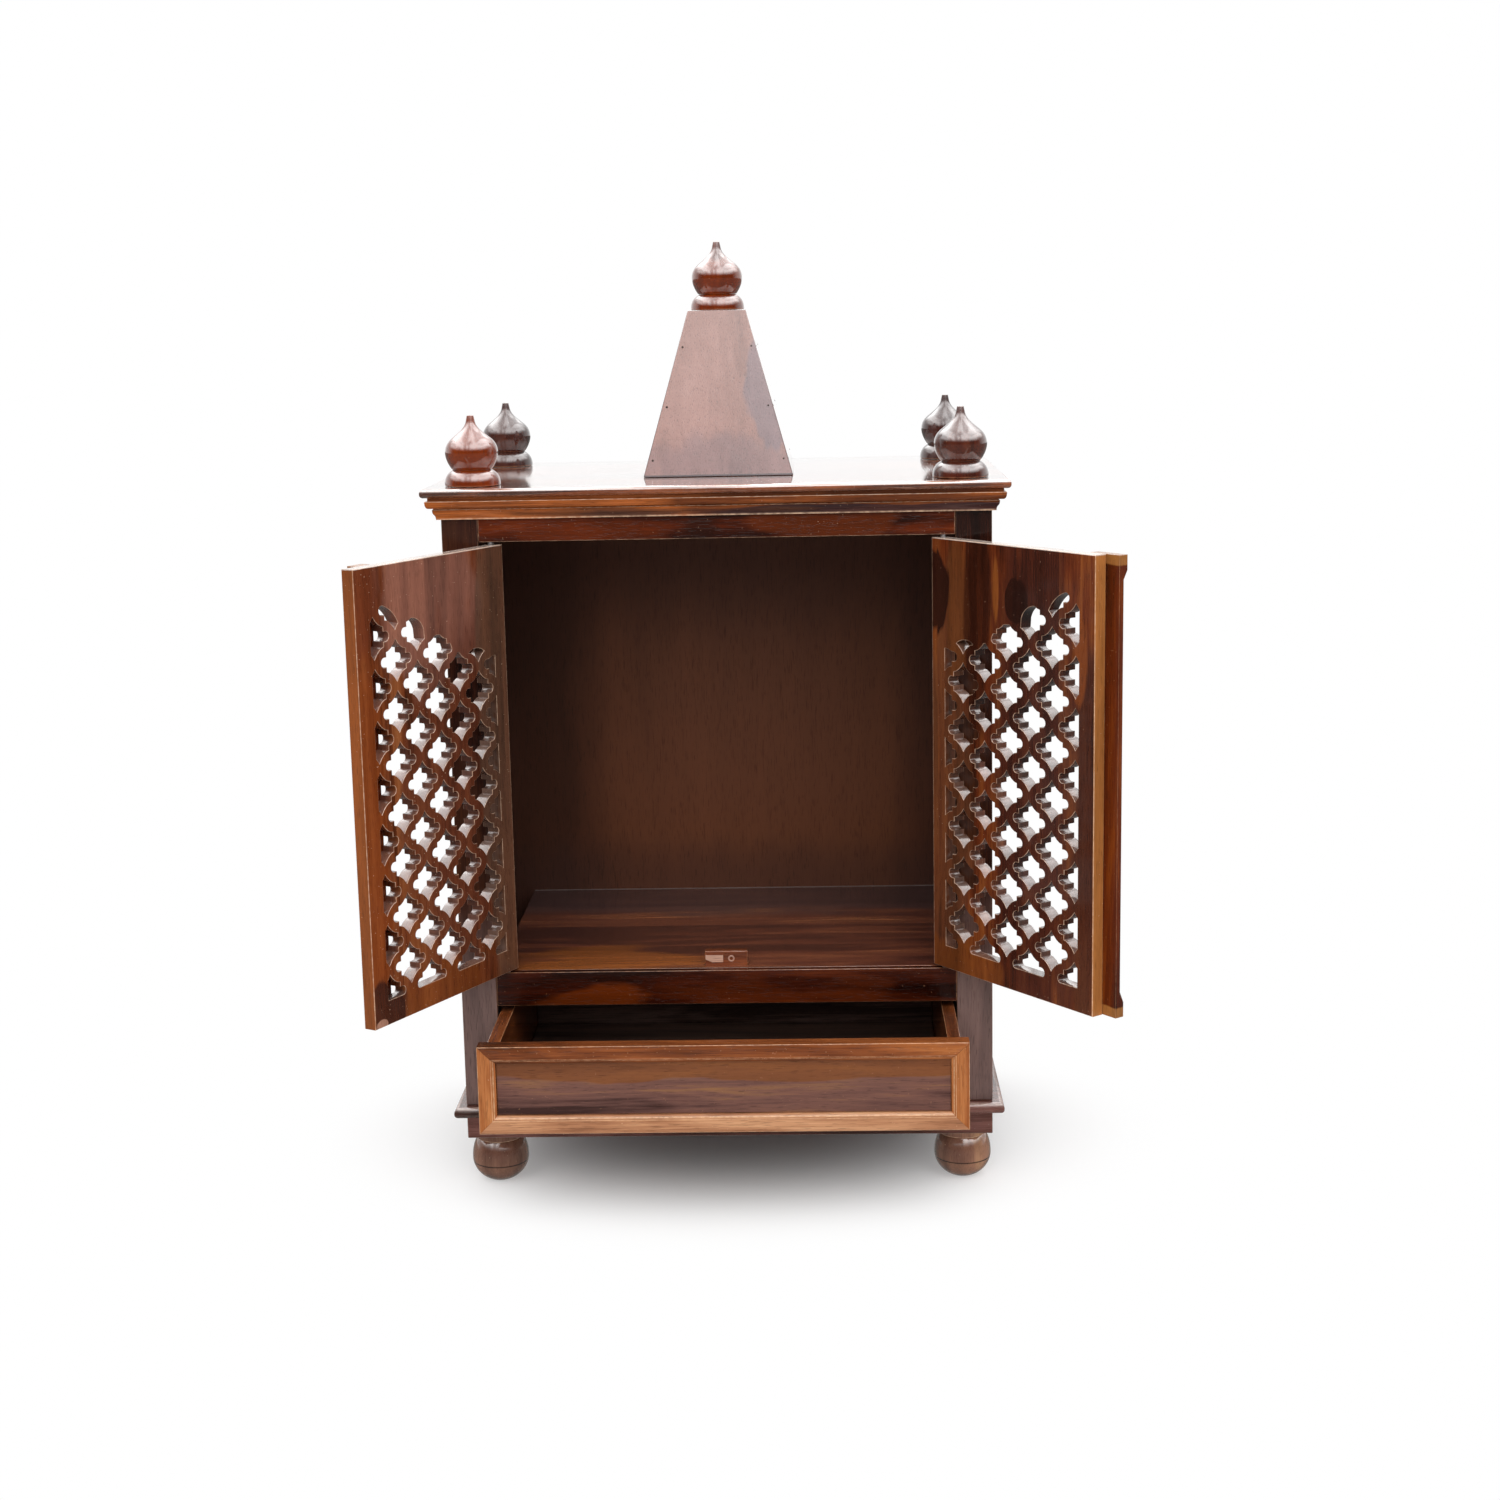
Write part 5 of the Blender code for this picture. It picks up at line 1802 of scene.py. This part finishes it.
@dataclass
class Catch:
    """The catch block on the shelf, with a thin plate and a small ring let into its front."""

    arris: float = 0.0007
    plate_place: float = 0.0006
    plate_width: float = 0.0190
    plate_height: float = 0.0078
    plate_thick: float = 0.0004
    plate_cut: Pair = (0.38, 0.2)
    ring_outer: float = 0.0036
    ring_inner: float = 0.0019
    ring_place: float = 0.0285
    ring_steps: int = 28
    ring_rise: float = 0.5

    def build(self) -> None:
        """Make the block, its plate and its ring."""
        ease_all("cabinet", self.arris, (("catch_block", Finish.CATCH, "dark_wood", Run.LEVEL),))
        low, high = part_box("catch_block")
        middle = (low[2] + high[2]) / 2
        self._plate(low[0] + self.plate_place, low[1], middle)
        self._ring(low[0] + self.ring_place, low[1], middle)

    def _plate(self, x: float, y: float, middle: float) -> None:
        """Make the plate, with its lower corner cut off.

        Args:
            x: Its left end.
            y: The block's front.
            middle: The height of its middle.
        """
        half = self.plate_height / 2
        right = x + self.plate_width
        outline = [
            (x, middle - half * self.plate_cut[1]),
            (x + self.plate_width * self.plate_cut[0], middle - half),
            (right, middle - half),
            (right, middle + half),
            (x, middle + half),
        ]
        shape = bmesh.new()
        depths = (y - self.plate_thick, y + self.plate_thick)
        rings = [ring_of(shape, [(px, depth, pz) for px, pz in outline]) for depth in depths]
        join_rings(shape, rings)
        piece = Piece("catch_plate", "cabinet", Finish.CATCH_PLATE, "dark_wood", Run.LEVEL)
        piece.finish_mesh(shape)

    def _ring(self, x: float, y: float, middle: float) -> None:
        """Make the small raised ring.

        Args:
            x: Its middle.
            y: The block's front.
            middle: The height of its middle.
        """
        shape = bmesh.new()
        half = (self.ring_outer - self.ring_inner) / 2
        section = arc((self.ring_inner + half, 0.0), half, 0, 360, 8)[:-1]
        rings = []
        for i in range(self.ring_steps):
            angle = 2 * math.pi * i / self.ring_steps
            rings.append(ring_of(shape, [
                (x + r * math.cos(angle), y - d * self.ring_rise, middle + r * math.sin(angle))
                for r, d in section
            ]))
        join_rings(shape, rings + [rings[0]], ends=False)
        piece = Piece("catch_ring", "cabinet", Finish.CATCH_PLATE, "dark_wood", Run.LEVEL)
        piece.smooth = True
        piece.finish_mesh(shape)


@dataclass(frozen=True)
class SoftBox:
    """A lamp with a soft rectangle of light."""

    name: str
    place: Triple
    aim: Triple
    size: Pair
    power: float

    def hang(self) -> None:
        """Hang the lamp."""
        data = bpy.data.lights.new(self.name, "AREA")
        data.shape = "RECTANGLE"
        data.size, data.size_y = self.size
        data.energy = self.power
        lamp = add_object(self.name, data)
        lamp.visible_glossy = False
        lamp.location = self.place
        way = Vector(self.aim) - Vector(self.place)
        lamp.rotation_euler = way.to_track_quat("-Z", "Y").to_euler()


@dataclass
class Studio:
    """The pale floor, the white surroundings, the lamps and the camera."""

    floor_half: float = 14.0
    floor_shade: Triple = (0.95, 0.95, 0.95)
    floor_mirrored: Triple = (0.22, 0.21, 0.20)
    lens: float = 55.2
    sensor: float = 36.0
    camera_place: Triple = (0.1036, -2.5665, 0.7113)
    yaw: float = -1.73
    pitch: float = 10.4
    roll: float = -1.16
    shift: float = -0.02
    boxes: tuple[SoftBox, ...] = (
        SoftBox("front_box", (0.1, -2.6, 2.4), (0.0, 0.0, 0.1), (5.0, 3.4), 88.0),
        SoftBox("top_box", (0.0, 0.1, 2.8), (0.0, 0.0, 0.0), (3.0, 2.4), 26.0),
    )
    near: Pair = (0.0, 0.37)
    far: Pair = (1.0, 2.4)
    side_reach: float = 0.5
    behind: Pair = (-0.25, 0.35)
    above: Pair = (0.20, 0.68)
    ceiling: float = 4.6
    cloud_stretch: Triple = (2.4, 0.7, 0.4)
    cloud_grain: Triple = (1.7, 1.0, 0.4)
    cloud_edge: Pair = (0.32, 0.68)
    cloud_level: Pair = (0.55, 0.9)
    plain_behind: Pair = (-0.6, 0.5)
    plain_above: float = 0.75
    plain_level: Pair = (0.38, 0.52)
    mirrored_level: Pair = (0.06, 1.02)

    def build(self) -> None:
        """Set the stage."""
        self._floor()
        self._world()
        for box in self.boxes:
            box.hang()
        self._camera()

    def _floor(self) -> None:
        """Make a pale floor, white to the eye and dim to the gloss."""
        mesh = bpy.data.meshes.new("floor")
        half = self.floor_half
        corners = [(-half, -half), (half, -half), (half, half), (-half, half)]
        mesh.from_pydata([(x, y, CAD_LOW[2]) for x, y in corners], [], [(0, 1, 2, 3)])
        item = add_object("floor", mesh)
        paint = Paint(bpy.data.materials.new("pale_floor"))
        x, y, _ = paint.split(paint.add("ShaderNodeTexCoord", output="Object"))
        reach = x * x * self.side_reach + y * y
        seen, gloss = (
            paint.add("ShaderNodeLightPath", output=f"Is {ray} Ray") for ray in ("Camera", "Glossy")
        )
        far = reach.step(self.far[0] ** 2, self.far[1] ** 2).at_least(gloss)
        near = reach.step(self.near[0] ** 2, self.near[1] ** 2)
        away = far + (near - far) * seen
        shade = paint.blend(seen, self.floor_mirrored, (1.0, 1.0, 1.0))
        glow = paint.add("ShaderNodeEmission", {"Color": shade})
        surface = Value(paint, paint.shader.outputs[0])
        mixed = paint.add("ShaderNodeMixShader", {0: away, 1: surface, 2: glow})
        paint.feed({"Base Color": (*self.floor_shade, 1.0), "Roughness": 0.9})
        paint.feed({"Specular IOR Level": 0.1})
        paint.fill(paint.tree.nodes["Material Output"], {0: mixed})
        mesh.materials.append(paint.owner)

    def _world(self) -> None:
        """Light from all sides; the gloss sees white above and behind and a dim front."""
        world = bpy.data.worlds.new("studio")
        bpy.context.scene.world = world
        paint = Paint(world, "Background")
        x, y, z = paint.split(paint.add("ShaderNodeTexCoord", output="Generated"))
        above = z.step(*self.above)
        stretched = paint.join(*(part * by for part, by in zip((x, y, z), self.cloud_stretch)))
        clouds = paint.noise(stretched, *self.cloud_grain).step(*self.cloud_edge)
        plain = y.step(*self.plain_behind).at_least(above * self.plain_above)
        plain = self.plain_level[0] + plain * self.plain_level[1]
        ceiling = above * (self.cloud_level[0] + clouds * self.cloud_level[1]) * self.ceiling
        mirrored = y.step(*self.behind).at_least(ceiling)
        mirrored = self.mirrored_level[0] + mirrored * self.mirrored_level[1]
        seen, gloss, through = (
            paint.add("ShaderNodeLightPath", output=f"Is {ray} Ray")
            for ray in ("Camera", "Glossy", "Transmission")
        )
        level = plain + (mirrored - plain) * gloss
        strength = level.at_least(seen.at_least(through))
        paint.feed({"Color": (1.0, 1.0, 1.0, 1.0), "Strength": strength})

    def _camera(self) -> None:
        """Stand the camera where the photograph was taken."""
        yaw, pitch, roll = (math.radians(angle) for angle in (self.yaw, self.pitch, self.roll))
        flat = math.cos(pitch)
        ahead = Vector((math.sin(yaw) * flat, math.cos(yaw) * flat, -math.sin(pitch)))
        level = Vector((math.cos(yaw), -math.sin(yaw), 0.0))
        upward = level.cross(ahead)
        right = math.cos(roll) * level + math.sin(roll) * upward
        top = math.cos(roll) * upward - math.sin(roll) * level
        data = bpy.data.cameras.new("camera")
        data.sensor_width = self.sensor
        data.lens = self.lens
        data.shift_y = self.shift
        camera = add_object("camera", data)
        turn = Matrix((right, top, -ahead)).transposed().to_4x4()
        camera.matrix_world = Matrix.Translation(self.camera_place) @ turn
        bpy.context.scene.camera = camera
        bpy.context.scene.view_settings.view_transform = "Standard"


def main() -> None:
    """Dress the temple from the feet up, then set the stage."""
    logging.basicConfig(level=logging.INFO, format="%(name)s %(message)s")
    for assembly in (Turning(), Carcass(), Cornice(), Spire(), Doors(), Drawer(), Catch()):
        assembly.build()
    Studio().build()


if __name__ == "__main__":
    main()
